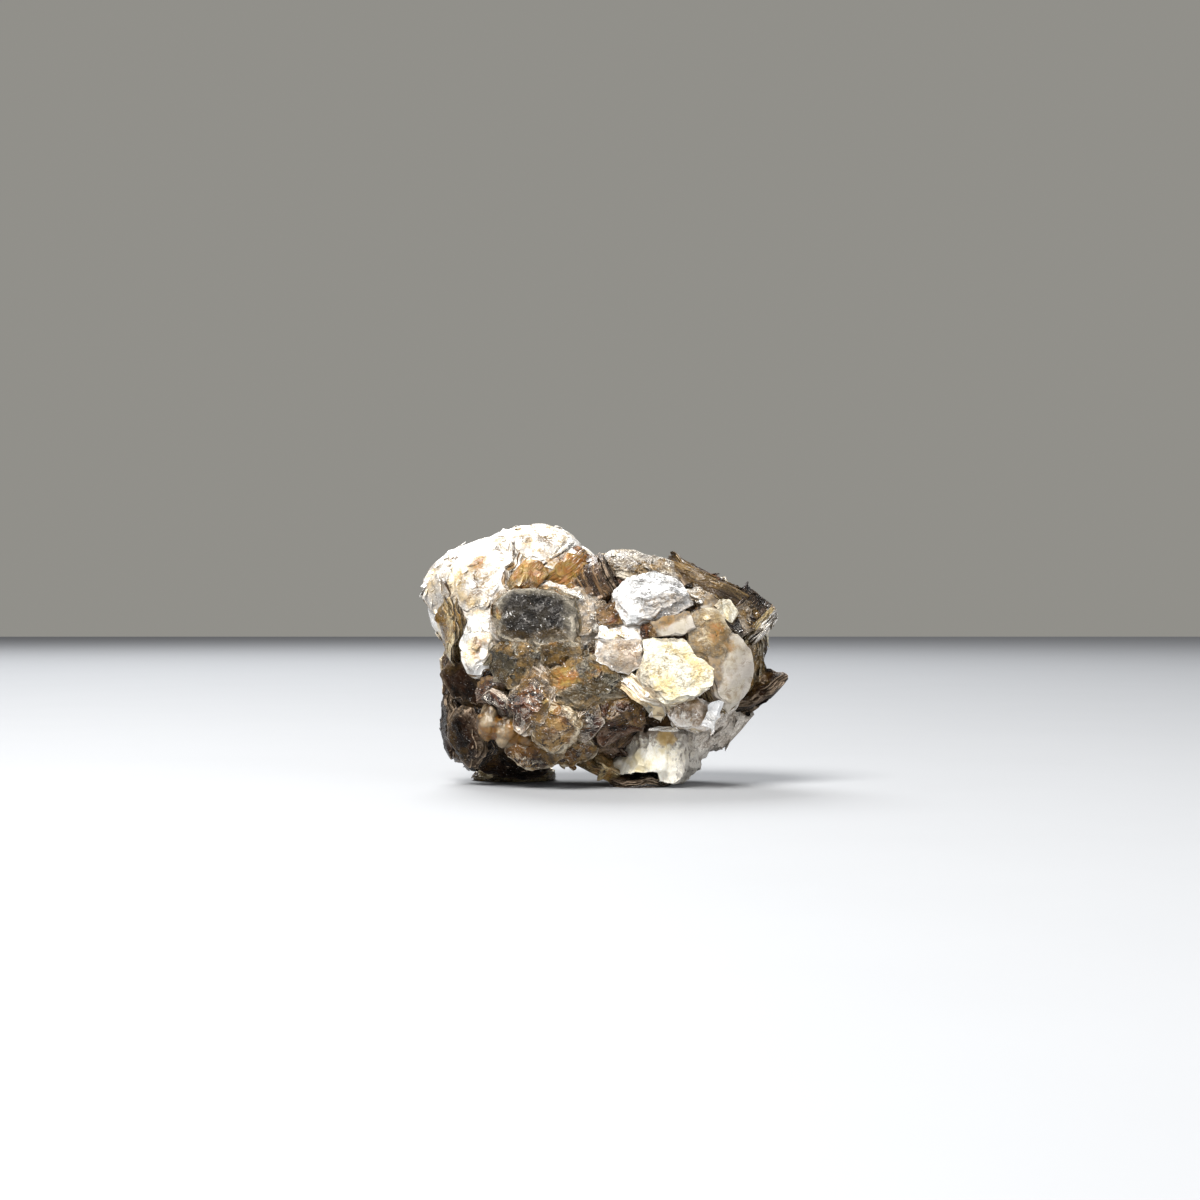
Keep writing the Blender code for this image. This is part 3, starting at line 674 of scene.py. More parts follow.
# Books, in millimeters and degrees, in the same frame as the solids.
# at: middle of the outer face; looks: turn from -Y towards +X, and lift;
# size: across, up, through the sheets; curl: how far the edges bend back;
# corners: 0 for a lobed outline; outline: corners seen from the front, as x and z
stackValues = dict(pitch=0.40, thinPitch=0.2, gap=0.055, partial=4, wander=0.012, bundle=(2, 6),
                   notch=(0.025, 0.07))


def bookTurn(book):
    turn, lift = (math.radians(angle) for angle in book["looks"])
    return Euler((math.pi / 2 - lift, 0.0, turn)).to_matrix()


# the outline of a book as a closed ring of points in its own plane
def bookOutline(book, dice, steps=360):
    angles = np.arange(steps) * math.tau / steps
    across, up, _ = book["size"]
    if "outline" in book:
        turn = bookTurn(book)
        at, normal = Vector(book["at"]), turn @ Vector((0, 0, 1))
        corners = []
        for x, z in book["outline"]:
            away = Vector((x - at.x, 0.0, z - at.z))
            away.y = -(normal.x * away.x + normal.z * away.z) / normal.y
            local = turn.transposed() @ away
            corners.append((local.x, local.y))
        return angles, rayLengths(corners, angles), [math.atan2(b, a) % math.tau for a, b in corners]
    bends = []
    waves = ((2, 0.05), (3, 0.05), (5, 0.03), (9, 0.012))
    wobble = sum(height * np.sin(angles * lobes + dice.uniform(0, math.tau)) for lobes, height in waves)
    if book.get("corners"):
        count = book["corners"]
        places = sorted(dice.uniform(-0.3, 0.3) + n for n in range(count))
        turns = [p * math.tau / count for p in places]
        ring = [(1.12 * math.cos(a), 1.12 * math.sin(a)) for a in turns]
        unit = rayLengths(ring, angles) * (1.0 + wobble * 0.3)
    else:
        unit = 1.0 + wobble
    x, y = unit * np.cos(angles) * across / 2, unit * np.sin(angles) * up / 2
    spin = math.radians(book.get("spin", 0.0))
    x, y = x * math.cos(spin) - y * math.sin(spin), x * math.sin(spin) + y * math.cos(spin)
    around = np.mod(np.arctan2(y, x), math.tau)
    order = np.argsort(around)
    reach = np.interp(angles, around[order], np.hypot(x, y)[order], period=math.tau)
    return angles, reach, bends


# how far each direction reaches before it meets the polygon
def rayLengths(corners, angles):
    reach = np.full(len(angles), np.inf)
    for (ax, ay), (bx, by) in zip(corners, corners[1:] + corners[:1]):
        ex, ey = bx - ax, by - ay
        dx, dy = np.cos(angles), np.sin(angles)
        cross = dx * ey - dy * ex
        with np.errstate(divide="ignore", invalid="ignore"):
            t = (ax * ey - ay * ex) / cross
            u = (ax * dy - ay * dx) / cross
        hit = (t > 0) & (u >= -1e-9) & (u <= 1 + 1e-9)
        reach = np.where(hit, np.minimum(reach, t), reach)
    return np.where(np.isfinite(reach), reach, np.nanmean(np.where(np.isfinite(reach), reach, np.nan)))


# how near each point is to the rim of another book, where the faces are painted darker: partly rust, partly
# painted shade between the books
def seamShadeShare(name, points):
    share = np.zeros(len(points))
    for label, book in allBooks.items():
        across, up, thick = book["size"]
        away = points - np.array(book["at"])
        if label == name or np.linalg.norm(away, axis=1).min() > max(across, up) * 0.5 + 2.0:
            continue
        local = away @ np.array(bookTurn(book))
        outside = (np.hypot(2 * local[:, 0] / across, 2 * local[:, 1] / up) - 1.0) * min(across, up) / 2
        near = np.exp(-np.clip(outside, 0.0, None) ** 2 / 0.9)
        share = np.maximum(share, np.where((local[:, 2] < 0.5) & (local[:, 2] > -thick - 1.0), near, 0.0))
    return share


def stackBook(name, book):
    dice = random.Random(name)
    across, up, thick = book["size"]
    curlX, curlY = book.get("curl", (0.3, 0.3))
    angles, reach, bends = bookOutline(book, dice)
    turn = bookTurn(book).to_4x4()
    place = Matrix.Translation(mm * Vector(book["at"])) @ turn
    kind = "wide" if max(across, up) > 8.5 else "small"
    partial = book.get("partial", stackValues["partial"])
    loose = book.get("loose", 1.0)
    seedShift = dice.uniform(0, 90)
    depth, notch, left, level, parts = 0.0, 0.0, 0, 0, []
    while depth < thick:
        isPartial = level < partial
        isTop = level <= partial
        wanted = "thinPitch" if isPartial else "pitch"
        pitch = book.get(wanted, stackValues[wanted])
        source = sheets[kind + "Top"] if isTop else sheets[kind]
        mesh = source.data.copy()
        points = readPoints(mesh)
        share = rim = np.hypot(points[:, 0], points[:, 1])
        angle = np.mod(np.arctan2(points[:, 1], points[:, 0]) + dice.randrange(12) * math.tau / 12, math.tau)
        spacing = math.tau / sheetShapes[kind]["around"]
        for bend in bends:
            near = np.abs(np.mod(angle - bend + math.pi, math.tau) - math.pi) < spacing / 2
            angle = np.where(near, bend, angle)
        radius = np.interp(angle, angles, reach, period=math.tau)

        if isPartial and ("outline" in book or book.get("corners")):
            lost = (0.5 - 0.4 * level / partial) * book.get("broken", 1.0)
            start = dice.uniform(0, 6.3)
            kept = np.ones(len(angle))
            for cut in range(dice.randint(2, 4)):
                facing = np.cos(angle - start - cut * 1.35 - dice.uniform(-0.4, 0.4))
                chord = 1.0 - lost * dice.uniform(0.2, 1.0)
                kept = np.minimum(kept, chord / np.maximum(facing, 0.05))
            kept *= 1.0 - 0.04 * np.sin(9 * angle + dice.uniform(0, 6.3)) - 0.03
        elif isPartial:
            lost = (0.42 - 0.36 * level / partial) * book.get("broken", 1.0)
            lobes = np.full(len(angle), 0.5)
            for waves, height in ((1, 0.3), (2, 0.2), (5, 0.16), (9, 0.1)):
                lobes += height * np.sin(waves * angle + dice.uniform(0, 6.3))
            kept = 1.0 - lost * np.clip(lobes, 0.0, 1.2)
        else:
            if left == 0:
                left = dice.randint(*stackValues["bundle"])
                notch = dice.uniform(*stackValues["notch"]) if dice.random() < 0.5 else 0.0
            left -= 1
            kept = 1.0 + loose * (dice.uniform(-1, 1) * stackValues["wander"] - (notch if left == 0 else 0.0))
        share = share * kept
        x, y = share * radius * np.cos(angle), share * radius * np.sin(angle)
        sheetThick = pitch - stackValues["gap"] * dice.uniform(0.3, 1.6) * (0.4 if isPartial else loose)
        z = -depth * (1.0 + book.get("fan", 0.06) * share**2) + points[:, 2] * sheetThick
        z -= curlX * (2 * x / across) ** 2 + curlY * (2 * y / up) ** 2
        if isPartial:
            toward = dice.uniform(0, 6.3)
            peel = dice.uniform(0.0, 0.5) * book.get("peel", 1.0)
            z += peel * np.clip(np.cos(angle - toward), 0, 1) ** 2 * share**3
        placed = np.stack([x, y, z], 1)
        writePoints(mesh, placed * mm)
        addLayer(mesh, "sheetPlace", placed + np.array([0.0, 0.0, seedShift]))
        addLayer(mesh, "rimShare", share)
        addLayer(mesh, "sheetRim", rim)
        addLayer(mesh, "seam", seamShadeShare(name, placed @ np.array(place.to_3x3()).T + np.array(book["at"])))
        addLayer(mesh, "sheetTone", np.full(len(share), dice.random()))
        mesh.transform(place)
        mesh.materials.clear()
        mesh.materials.append(finishes[book["face"]])
        mesh.materials.append(finishes[book["edge"]])
        sides = [abs(face.normal.z) < 0.5 and not isPartial for face in source.data.polygons]
        mesh.polygons.foreach_set("material_index", np.array(sides, dtype=np.int32))
        part = bpy.data.objects.new(f"{name}Sheet{level}", mesh)
        scene.collection.objects.link(part)
        part.vertex_groups.new(name="crumple").add(range(len(share)), book.get("crumple", 1.0), "REPLACE")
        parts.append(part)
        depth += pitch
        level += 1
    return parts


fanBooks = {
    "side": dict(at=(-26.2, 2.0, 24.8), looks=(-84, -14), size=(16, 15.5, 5), spin=8, curl=(2.0, 3.0),
                 fan=0.16, face="silverFoil", edge="fanEdge", pitch=0.5, loose=1.5, partial=2),
    "shoulder": dict(at=(-22.5, -2.8, 33.3), looks=(-50, 38), size=(17, 14, 5), curl=(2.0, 2.4), fan=0.1,
                     face="silverFoil", edge="paleEdge", partial=2, peel=0.4, thinPitch=0.12),
    "band": dict(at=(-18.9, -10.5, 23.1), looks=(-26, 12), size=(7.2, 13.4, 5), spin=4, curl=(1.2, 1.2),
                 fan=0.16, face="silverFoil", edge="paleEdge"),
    "fold": dict(at=(-24.5, -3.4, 22.6), looks=(-93, -9), size=(10, 11.4, 2.7), spin=-6, curl=(1.0, 1.0),
                 fan=0.3, face="goldFace", edge="fanEdge", pitch=0.5, loose=1.5, partial=1),
    "bright": dict(at=(-19.2, -8.9, 29.8), looks=(-38, 20), size=(8.5, 8, 4), spin=30, curl=(1.0, 1.0),
                   face="silverFoil", edge="paleEdge", partial=2, peel=0.5),
    "crest": dict(at=(-16.6, 0.6, 35.7), looks=(-58, 60), size=(12, 10, 4), curl=(1.2, 1.0),
                  face="silverFoil", edge="paleEdge", partial=2, peel=0.4, thinPitch=0.12),
    "ridge": dict(at=(-10.0, 0.2, 38.0), looks=(14, 60), size=(14, 13, 5), spin=10, curl=(2.2, 1.8),
                  face="silverFoil", edge="oliveEdge", partial=2, peel=0.4, thinPitch=0.12),
    "slope": dict(at=(-4.6, 1.0, 35.2), looks=(48, 58), size=(12, 11, 4), curl=(1.2, 1.0),
                  face="silverFoil", edge="paleEdge", partial=2, peel=0.4, thinPitch=0.12),
}

shellBooks = {
    "heartRim": dict(at=(-8.6, -13.7, 25.2), looks=(-2, 12), size=(17.6, 12.6, 5), curl=(2.0, 1.4),
                     fan=0.2, face="silverRim", edge="oliveEdge"),
    "darkHeart": dict(at=(-10.6, -15.6, 25.5), looks=(-6, 8), size=(12.5, 8.5, 4), curl=(1.2, 0.8),
                      fan=0.2, broken=0.5, face="darkHeart", edge="oliveEdge",
                      outline=[(-16.6, 26.6), (-15.6, 28.9), (-12.8, 29.7), (-7.2, 29.6), (-4.4, 28.2),
                               (-3.6, 25.2), (-4.6, 22.0), (-8.4, 20.5), (-13.8, 20.9), (-16.2, 23.0)]),
    "heartWing": dict(at=(-0.8, -12.0, 23.4), looks=(30, 6), size=(6, 9.5, 4), spin=10, curl=(1.0, 1.4),
                      fan=0.2, face="silverRim", edge="oliveEdge"),
    "oliveLeft": dict(at=(-13.6, -15.0, 18.9), looks=(-24, -2), size=(9, 8.5, 4), spin=15,
                      curl=(1.2, 0.8), face="oliveFace", edge="oliveEdge"),
    "oliveRight": dict(at=(-7.6, -15.4, 20.3), looks=(2, -8), size=(8.5, 5.5, 3), spin=12,
                       curl=(0.6, 0.6), face="oliveFace", edge="oliveEdge"),
    "brownShell": dict(at=(-11.4, -16.6, 12.9), looks=(-24, 2), size=(7.5, 10.8, 4.5), spin=-8,
                       curl=(1.6, 1.0), fan=0.2, face="brownShell", edge="oliveEdge"),
    "stainedArch": dict(at=(-2.6, -16.0, 16.2), looks=(4, 10), size=(12.5, 8, 4), spin=-10,
                        curl=(1.2, 1.0), face="oliveFace", edge="brownEdge"),
    "amberFlake": dict(at=(-7.3, -16.6, 8.7), looks=(-4, -14), size=(7.2, 7.4, 2.5), spin=5,
                       curl=(0.8, 1.0), face="amberFlake", edge="oliveEdge"),
    "crinkledShell": dict(at=(-2.4, -15.2, 10.0), looks=(18, -10), size=(5.4, 6.2, 3), curl=(0.8, 0.8),
                          face="brownShell", edge="oliveEdge"),
    "lowerShell": dict(at=(-10.6, -12.2, 4.9), looks=(-8, -16), size=(9, 5, 5), spin=-6, curl=(1.0, 0.8),
                       face="amberFlake", edge="brownEdge"),
    "middleShell": dict(at=(-4.5, -11.6, 5.2), looks=(6, -24), size=(8, 5.4, 4), spin=6, curl=(1.0, 0.6),
                        face="amberFlake", edge="oliveEdge"),
}

plateBooks = {
    "silverPlate": dict(at=(6.8, -13.2, 28.4), looks=(6, 30), size=(12.2, 8.6, 3.5), face="whitePlate",
                        edge="paleEdge",
                        outline=[(1.3, 29.2), (3.2, 31.1), (6.6, 32.0), (10.1, 31.4), (12.3, 28.6),
                                 (11.0, 27.4), (8.2, 26.1), (6.5, 24.9), (3.2, 24.7), (1.2, 26.9)],
                        crumple=0.35, thinPitch=0.09),
    "brownNub": dict(at=(1.4, -14.2, 25.2), looks=(10, 6), size=(4.4, 3.2, 3), spin=20, corners=6,
                     face="brownGlitter", edge="brownEdge"),
    "silverWedge": dict(at=(9.8, -13.3, 26.1), looks=(18, 4), size=(7.5, 3.6, 4), face="whitePlate",
                        edge="brownEdge",
                        outline=[(6.0, 24.4), (8.2, 26.2), (12.4, 28.4), (13.2, 26.8), (11.2, 25.8),
                                 (9.0, 25.0)], crumple=0.3),
    "creamPlate": dict(at=(10.6, -16.2, 17.6), looks=(8, 12), size=(12.4, 9.4, 3), face="creamFace",
                       edge="creamEdge",
                       outline=[(5.8, 21.6), (6.6, 22.1), (11.8, 22.0), (13.0, 19.6), (15.8, 17.6),
                                (15.4, 15.3), (13.7, 14.1), (11.5, 13.2), (8.5, 12.2), (6.2, 14.1),
                                (4.6, 16.6), (5.5, 19.4)], crumple=0.3, thinPitch=0.09),
    "creamTail": dict(at=(7.0, -13.2, 15.2), looks=(88, 49), size=(7.4, 8.4, 2.8), spin=0, corners=6,
                      face="creamFace", edge="creamEdge", crumple=0.5, thinPitch=0.09, pitch=0.45),
    "stepUpper": dict(at=(2.2, -14.3, 22.9), looks=(0, 26), size=(7.4, 4.8, 4), face="silverFoil",
                      edge="creamEdge",
                      outline=[(-1.5, 22.2), (-0.6, 24.5), (2.4, 25.0), (5.2, 24.5), (5.9, 22.2),
                               (2.2, 21.2)], crumple=0.3, thinPitch=0.1, broken=0.25),
    "stepLower": dict(at=(2.2, -15.3, 19.4), looks=(2, -2), size=(7.2, 4.4, 4), face="pinkStep",
                      edge="creamEdge",
                      outline=[(-1.3, 21.8), (5.4, 22.0), (5.5, 18.2), (3.4, 16.8), (0.8, 17.4),
                               (-1.2, 18.8)], crumple=0.2, thinPitch=0.1, broken=0.25),
    "redNub": dict(at=(6.2, -14.8, 23.3), looks=(6, 4), size=(2.6, 2.8, 3), spin=10, corners=6,
                   face="brownGlitter", edge="brownEdge"),
    "scaleLeft": dict(at=(9.9, -14.4, 23.7), looks=(8, 8), size=(7.2, 4.2, 3), face="beigeSatin",
                      edge="brownEdge",
                      outline=[(6.4, 24.4), (9.6, 25.4), (12.5, 26.0), (13.1, 23.6), (11.2, 22.6),
                               (6.6, 22.2), (5.7, 23.1)], crumple=0.3, thinPitch=0.09),
    "scaleTop": dict(at=(15.4, -11.8, 24.0), looks=(20, 12), size=(6.4, 4.8, 3), corners=6, spin=-18,
                     face="oliveBeige", edge="brownEdge", crumple=0.3, thinPitch=0.09),
    "scaleLow": dict(at=(14.6, -13.4, 21.0), looks=(14, 6), size=(6.8, 4.8, 3), corners=6, spin=-36,
                     face="oliveBeige", edge="brownEdge", crumple=0.3, thinPitch=0.09),
    "scaleSmall": dict(at=(15.2, -9.0, 27.2), looks=(14, 16), size=(3.4, 3.2, 4), corners=6, spin=10,
                       face="beigeSatin", edge="brownEdge", crumple=0.3),
    "palePeak": dict(at=(18.0, -8.8, 26.5), looks=(18, 18), size=(4.2, 2.6, 3), spin=-14, corners=6,
                     face="creamFace", edge="paleEdge", crumple=0.3),
    "silverStep": dict(at=(13.9, -8.8, 28.5), looks=(20, 32), size=(5.0, 2.6, 3), spin=-22, corners=6,
                       face="silverRim", edge="paleEdge", crumple=0.3),
    "roundPlate": dict(at=(18.9, -11.4, 17.4), looks=(38, 4), size=(9.2, 11.2, 3), spin=-10,
                       curl=(0.8, 0.6), broken=0.4, face="beigeSatin", edge="oliveEdge", crumple=0.35),
    "rubbleLeft": dict(at=(1.2, -14.8, 12.6), looks=(-16, 22), size=(6.0, 3.4, 4), spin=34, corners=6,
                       face="brownGlitter", edge="brownEdge"),
    "rubbleMiddle": dict(at=(4.6, -14.2, 11.2), looks=(24, -18), size=(6.0, 3.6, 4), spin=-30, corners=6,
                         face="brownGlitter", edge="brownEdge"),
    "rubbleRight": dict(at=(8.2, -12.6, 10.0), looks=(-10, -30), size=(8.0, 3.6, 4), spin=-12, corners=6,
                        face="darkPlate", edge="darkEdge"),
    "rubbleLow": dict(at=(2.4, -12.6, 8.4), looks=(-6, -16), size=(7.0, 5.4, 3.5), spin=24, corners=7,
                      face="brownGlitter", edge="brownEdge"),
    "bowlShell": dict(at=(12.6, -14.0, 11.6), looks=(12, 10), size=(8.0, 5.6, 4), spin=-12,
                      curl=(1.4, 1.2), face="pinkStep", edge="creamEdge"),
    "whiteFlake": dict(at=(15.8, -15.4, 10.7), looks=(0, 26), size=(2.6, 3.6, 1.2), spin=0, corners=6,
                       face="whitePlate", edge="paleEdge",
                       outline=[(15.4, 12.1), (17.2, 12.4), (17.5, 11.4), (16.1, 10.1), (15.5, 8.8),
                                (14.4, 8.9), (15.2, 10.6)], crumple=0.3),
    "thinFlake": dict(at=(8.9, -13.2, 8.3), looks=(4, 24), size=(4.4, 1.9, 0.5), spin=-8,
                      face="silverRim", edge="paleEdge", crumple=0.3),
    "flank": dict(at=(16.4, -7.8, 10.6), looks=(40, -32), size=(9.4, 7.8, 5), spin=22, curl=(0.8, 0.8),
                  face="greyFlank", edge="greyFlank", loose=0.0),
    "flankEdge": dict(at=(13.8, -4.0, 4.4), looks=(60, -40), size=(9, 7, 4), corners=7, face="greyFlank",
                      edge="greyFlank", loose=0.0),
}

edgeBooks = {
    "orangeStack": dict(at=(-8.6, -5.4, 33.6), looks=(-88, 54), size=(11, 10, 5), corners=7,
                        face="silverRim", edge="orangeEdge", pitch=0.55, loose=0.35),
    "orangeChip": dict(at=(-12.9, -9.6, 31.8), looks=(-84, 36), size=(6.4, 6.2, 2.8), spin=0, corners=6,
                       face="goldFace", edge="rustEdge", pitch=0.5, loose=0.4, partial=1),
    "darkStack": dict(at=(1.4, -7.0, 31.2), looks=(84, 26), size=(10, 7.4, 5), corners=7,
                      face="darkPlate", edge="brownEdge", pitch=0.55, loose=0.35),
    "hump": dict(at=(3.6, -3.6, 33.6), looks=(12, 56), size=(9.5, 9, 5), curl=(0.8, 0.8),
                 face="mottledFace", edge="oliveEdge"),
    "humpStep": dict(at=(8.6, -5.2, 32.2), looks=(22, 50), size=(7, 6.4, 4), spin=20, corners=7,
                     face="mottledFace", edge="brownEdge"),
    "brownSlab": dict(at=(16.3, -1.3, 31.2), looks=(88, 65), size=(12, 12.2, 3.0), corners=7,
                      face="slabEdge", edge="slabEdge", crumple=0.12, pitch=0.6, loose=0.12, partial=1),
    "brownSlabUnder": dict(at=(15.2, -3.4, 29.0), looks=(84, 60), size=(10, 10, 3.0), spin=12, corners=7,
                           face="darkPlate", edge="brownEdge", crumple=0.2, pitch=0.3, loose=0.4),
    "fringeGlitter": dict(at=(20.7, -7.0, 25.0), looks=(30, 14), size=(6.4, 4.8, 4), spin=24, corners=6,
                          face="darkGlitter", edge="darkEdge", crumple=0.4, broken=0.6),
    "darkFringe": dict(at=(23.4, -1.0, 23.2), looks=(90, -40), size=(9, 7.0, 4.4), corners=7, fan=0.2,
                       face="darkPlate", edge="darkEdge", loose=0.6),
    "fringeBlade": dict(at=(24.0, -3.2, 22.8), looks=(84, -42), size=(7, 6.8, 1.6), corners=6,
                        face="silverRim", edge="oliveEdge"),
    "fringeBack": dict(at=(20.6, 5.0, 24.0), looks=(96, 16), size=(10, 9, 5), spin=14, corners=7,
                       face="brownGlitter", edge="brownEdge", loose=0.4),
    "thinBlade": dict(at=(21.8, -4.8, 17.4), looks=(64, -2), size=(6, 8, 2), spin=12, corners=6,
                      face="goldFace", edge="oliveEdge"),
    "rightBlade": dict(at=(22.1, -3.2, 15.1), looks=(-24, 44), size=(10.8, 5.0, 1.6), spin=30, corners=7,
                       face="darkPlate", edge="darkEdge"),
    "rightBladeUnder": dict(at=(20.8, -1.2, 13.2), looks=(-24, 42), size=(9.0, 4.8, 0.8), spin=32,
                            corners=7, face="darkPlate", edge="paleEdge"),
}

footBooks = {
    "leftPlate": dict(at=(-21.4, -5.6, 14.9), looks=(-40, -8), size=(10.4, 6.4, 3.5), spin=-34,
                      face="darkPlate", edge="darkEdge"),
    "leftStep": dict(at=(-17.3, -10.4, 13.8), looks=(-34, -6), size=(5.4, 4.8, 3), spin=-30, corners=7,
                     face="brownGlitter", edge="oliveEdge", crumple=0.6),
    "leftShell": dict(at=(-16.4, -12.6, 11.3), looks=(-28, -12), size=(4.8, 4.4, 3), spin=14,
                      curl=(0.8, 0.8), face="brownShell", edge="oliveEdge", crumple=0.7),
    "leftStack": dict(at=(-24.4, 1.0, 8.0), looks=(-82, -6), size=(12, 11.4, 5), curl=(1.0, 1.4),
                      fan=0.16, face="darkPlate", edge="darkEdge"),
    "leftStackFront": dict(at=(-21.4, -6.0, 6.8), looks=(-50, -12), size=(8.4, 9.6, 4), spin=8,
                           curl=(0.8, 1.0), face="darkPlate", edge="darkEdge"),
    "leftFoot": dict(at=(-13.8, 6.6, 2.2), looks=(0, 86), size=(12.4, 10, 2.0), spin=12, face="goldFace",
                     edge="oliveEdge"),
    "frontFoot": dict(at=(5.0, -4.6, 1.7), looks=(0, 87), size=(9.4, 11, 1.6), corners=7,
                      face="darkPlate", edge="darkEdge"),
    "goldEdge": dict(at=(0.4, -2.8, 4.6), looks=(76, 58), size=(11, 9, 2.4), corners=7, face="goldFace",
                     edge="oliveEdge", loose=0.4),
    "heel": dict(at=(-12.6, 7.6, 5.6), looks=(168, -36), size=(11, 8, 5), corners=7, curl=(0.8, 0.8),
                 face="brownShell", edge="brownEdge"),
    "heelRight": dict(at=(9.6, 8.4, 4.0), looks=(172, -42), size=(10, 7, 5), corners=7, curl=(0.8, 0.8),
                      face="amberFlake", edge="brownEdge"),
    "belly": dict(at=(-3.0, -1.0, 3.4), looks=(0, -86), size=(24, 20, 5), curl=(1.6, 1.6),
                  face="brownGlitter", edge="brownEdge"),
    "bellyLeft": dict(at=(-15.0, -4.6, 2.8), looks=(-14, -52), size=(15, 9, 6), curl=(1.0, 0.8),
                      face="darkPlate", edge="darkEdge"),
    "bellyRight": dict(at=(12.0, 3.0, 4.2), looks=(50, -66), size=(14, 14, 5), curl=(1.0, 1.0),
                       face="greyFlank", edge="greyFlank", loose=0.0),
}

# the rings of the far side, as in the solids: lift, how many, first and last turn, across and up
backRings = (
    (-28, 5, 108, 242, (12.0, 10.0)), (-2, 5, 100, 243, (13.0, 12.5)),
    (26, 5, 96, 252, (13.5, 12.0)), (54, 3, 110, 235, (11.5, 10.5)),
)
backValues = dict(middle=(0.0, 0.0, 18.0), reach=(24.2, 16.2, 18.6), thick=5.0, seed=41)
backFaces = ("silverFoil", "brownShell", "silverRim", "oliveFace", "amberFlake", "darkPlate", "creamFace")
backEdges = ("paleEdge", "oliveEdge", "brownEdge")
greyBacks = ((0, 0), (0, 1))
slabBack = (3, 0)


def makeBackBooks():
    dice = random.Random(backValues["seed"])
    found = {}
    for ring, (lift, count, first, last, (across, up)) in enumerate(backRings):
        for n in range(count):
            turn = first + (last - first) * n / (count - 1) + dice.uniform(-6, 6)
            tilt = lift + dice.uniform(-7, 7)
            a, e = math.radians(turn), math.radians(tilt)
            out = (math.sin(a) * math.cos(e), -math.cos(a) * math.cos(e), math.sin(e))
            at = [m + r * o for m, r, o in zip(backValues["middle"], backValues["reach"], out)]
            grow = dice.uniform(0.85, 1.15)
            looks = (turn + dice.uniform(-20, 20), tilt + 12 + dice.uniform(-14, 14))
            corners = dice.choice((6, 7, 8))
            found[f"back{ring}{n}"] = dict(
                at=at, looks=looks, size=(across * grow, up * grow, backValues["thick"]),
                corners=corners, spin=dice.uniform(0, 50),
                curl=(dice.uniform(0.2, 1.4), dice.uniform(0.2, 1.4)), fan=0.1,
                face=backFaces[(ring * 3 + n * 2) % len(backFaces)],
                edge=backEdges[(ring + n) % len(backEdges)])
            if (ring, n) in greyBacks:
                found[f"back{ring}{n}"].update(face="greyFlank", edge="greyFlank", loose=0.0, partial=1)
            if (ring, n) == slabBack:
                lowered = (at[0], at[1], at[2] - 0.9)
                found[f"back{ring}{n}"].update(face="slabEdge", edge="slabEdge", loose=0.2, at=lowered)
    return found


backBooks = makeBackBooks()

# rust that shows in one place: middle, radius and strength
stainSpots = (
    ((-6.5, -9.0, 31.5), 4.0, 1.0), ((-12.0, -10.0, 32.0), 2.6, 0.8), ((-16.0, -8.0, 33.5), 2.2, 0.5),
    ((-18.5, -12.0, 20.5), 2.6, 0.7), ((-8.0, -16.0, 21.0), 3.0, 0.35), ((-6.5, -16.5, 17.0), 3.0, 1.0),
    ((-2.0, -16.5, 17.5), 3.0, 0.5), ((-8.0, -17.0, 12.5), 1.8, 0.8), ((9.0, -15.0, 24.8), 1.6, 0.9),
    ((16.5, -12.0, 22.5), 2.2, 0.9), ((18.0, -11.0, 20.8), 1.8, 0.7), ((3.0, -14.5, 25.4), 1.6, 0.6),
    ((13.0, -15.5, 18.0), 2.4, 0.45), ((15.0, -14.0, 13.5), 2.0, 0.6), ((-12.5, -12.0, 28.5), 2.2, 0.6),
    ((-13.6, -13.6, 30.4), 2.4, 1.0), ((-8.0, -12.6, 31.0), 3.4, 0.7), ((-16.2, -12.6, 28.6), 2.0, 0.9),
    ((-9.0, -12.0, 6.0), 3.0, 0.5), ((-18.2, -12.0, 7.4), 1.8, 0.9), ((-12.4, -13.0, 8.2), 1.8, 0.8),
    ((0.0, -6.0, 3.0), 4.0, 0.6), ((9.2, -10.5, 7.6), 2.0, 1.2), ((-16.3, -14.5, 25.5), 1.8, 1.0),
    ((-17.6, -12.4, 25.5), 2.2, 0.75), ((-18.8, -6.0, 33.0), 1.8, 0.9), ((-21.5, -8.0, 30.0), 1.6, 0.7),
)

# slow waves and small crumples that run through every sheet of a piece: size and height
crumple = dict(wide=(4.2, 1.5), middle=(1.7, 0.75))


def addStain(piece):
    mesh = piece.data
    points = readPoints(mesh) / mm
    total = np.zeros(len(points))
    for middle, radius, strength in stainSpots:
        away = np.linalg.norm(points - np.array(middle), axis=1)
        total = np.maximum(total, strength * np.clip(1.4 - away / radius, 0.0, 1.0))
    addLayer(mesh, "stain", total)


def addCrumple(piece, amount=1.0):
    for label, (size, strength) in crumple.items():
        texture = bpy.data.textures.new(f"{piece.name}{label}", "CLOUDS")
        texture.cloud_type = "COLOR"
        texture.noise_scale = size * mm
        texture.noise_depth = 1
        displace = piece.modifiers.new(label, "DISPLACE")
        displace.texture = texture
        displace.texture_coords = "LOCAL"
        displace.direction = "RGB_TO_XYZ"
        displace.mid_level = 0.5
        displace.strength = strength * amount * mm
        displace.vertex_group = "crumple"
    applyModifiers(piece)
    piece.vertex_groups.clear()


# nothing reaches below the surface that the specimen stands on
tableLevel = 0.01 * mm


def cutAtTable(piece):
    mesh = piece.data
    points = readPoints(mesh)
    points[:, 2] = np.maximum(points[:, 2], tableLevel)
    writePoints(mesh, points)


allBooks = {
    name + label: book
    for name, books in (("fanBooks", fanBooks), ("shellBooks", shellBooks), ("plateBooks", plateBooks),
                        ("edgeBooks", edgeBooks), ("footBooks", footBooks), ("backBooks", backBooks))
    for label, book in books.items()
}


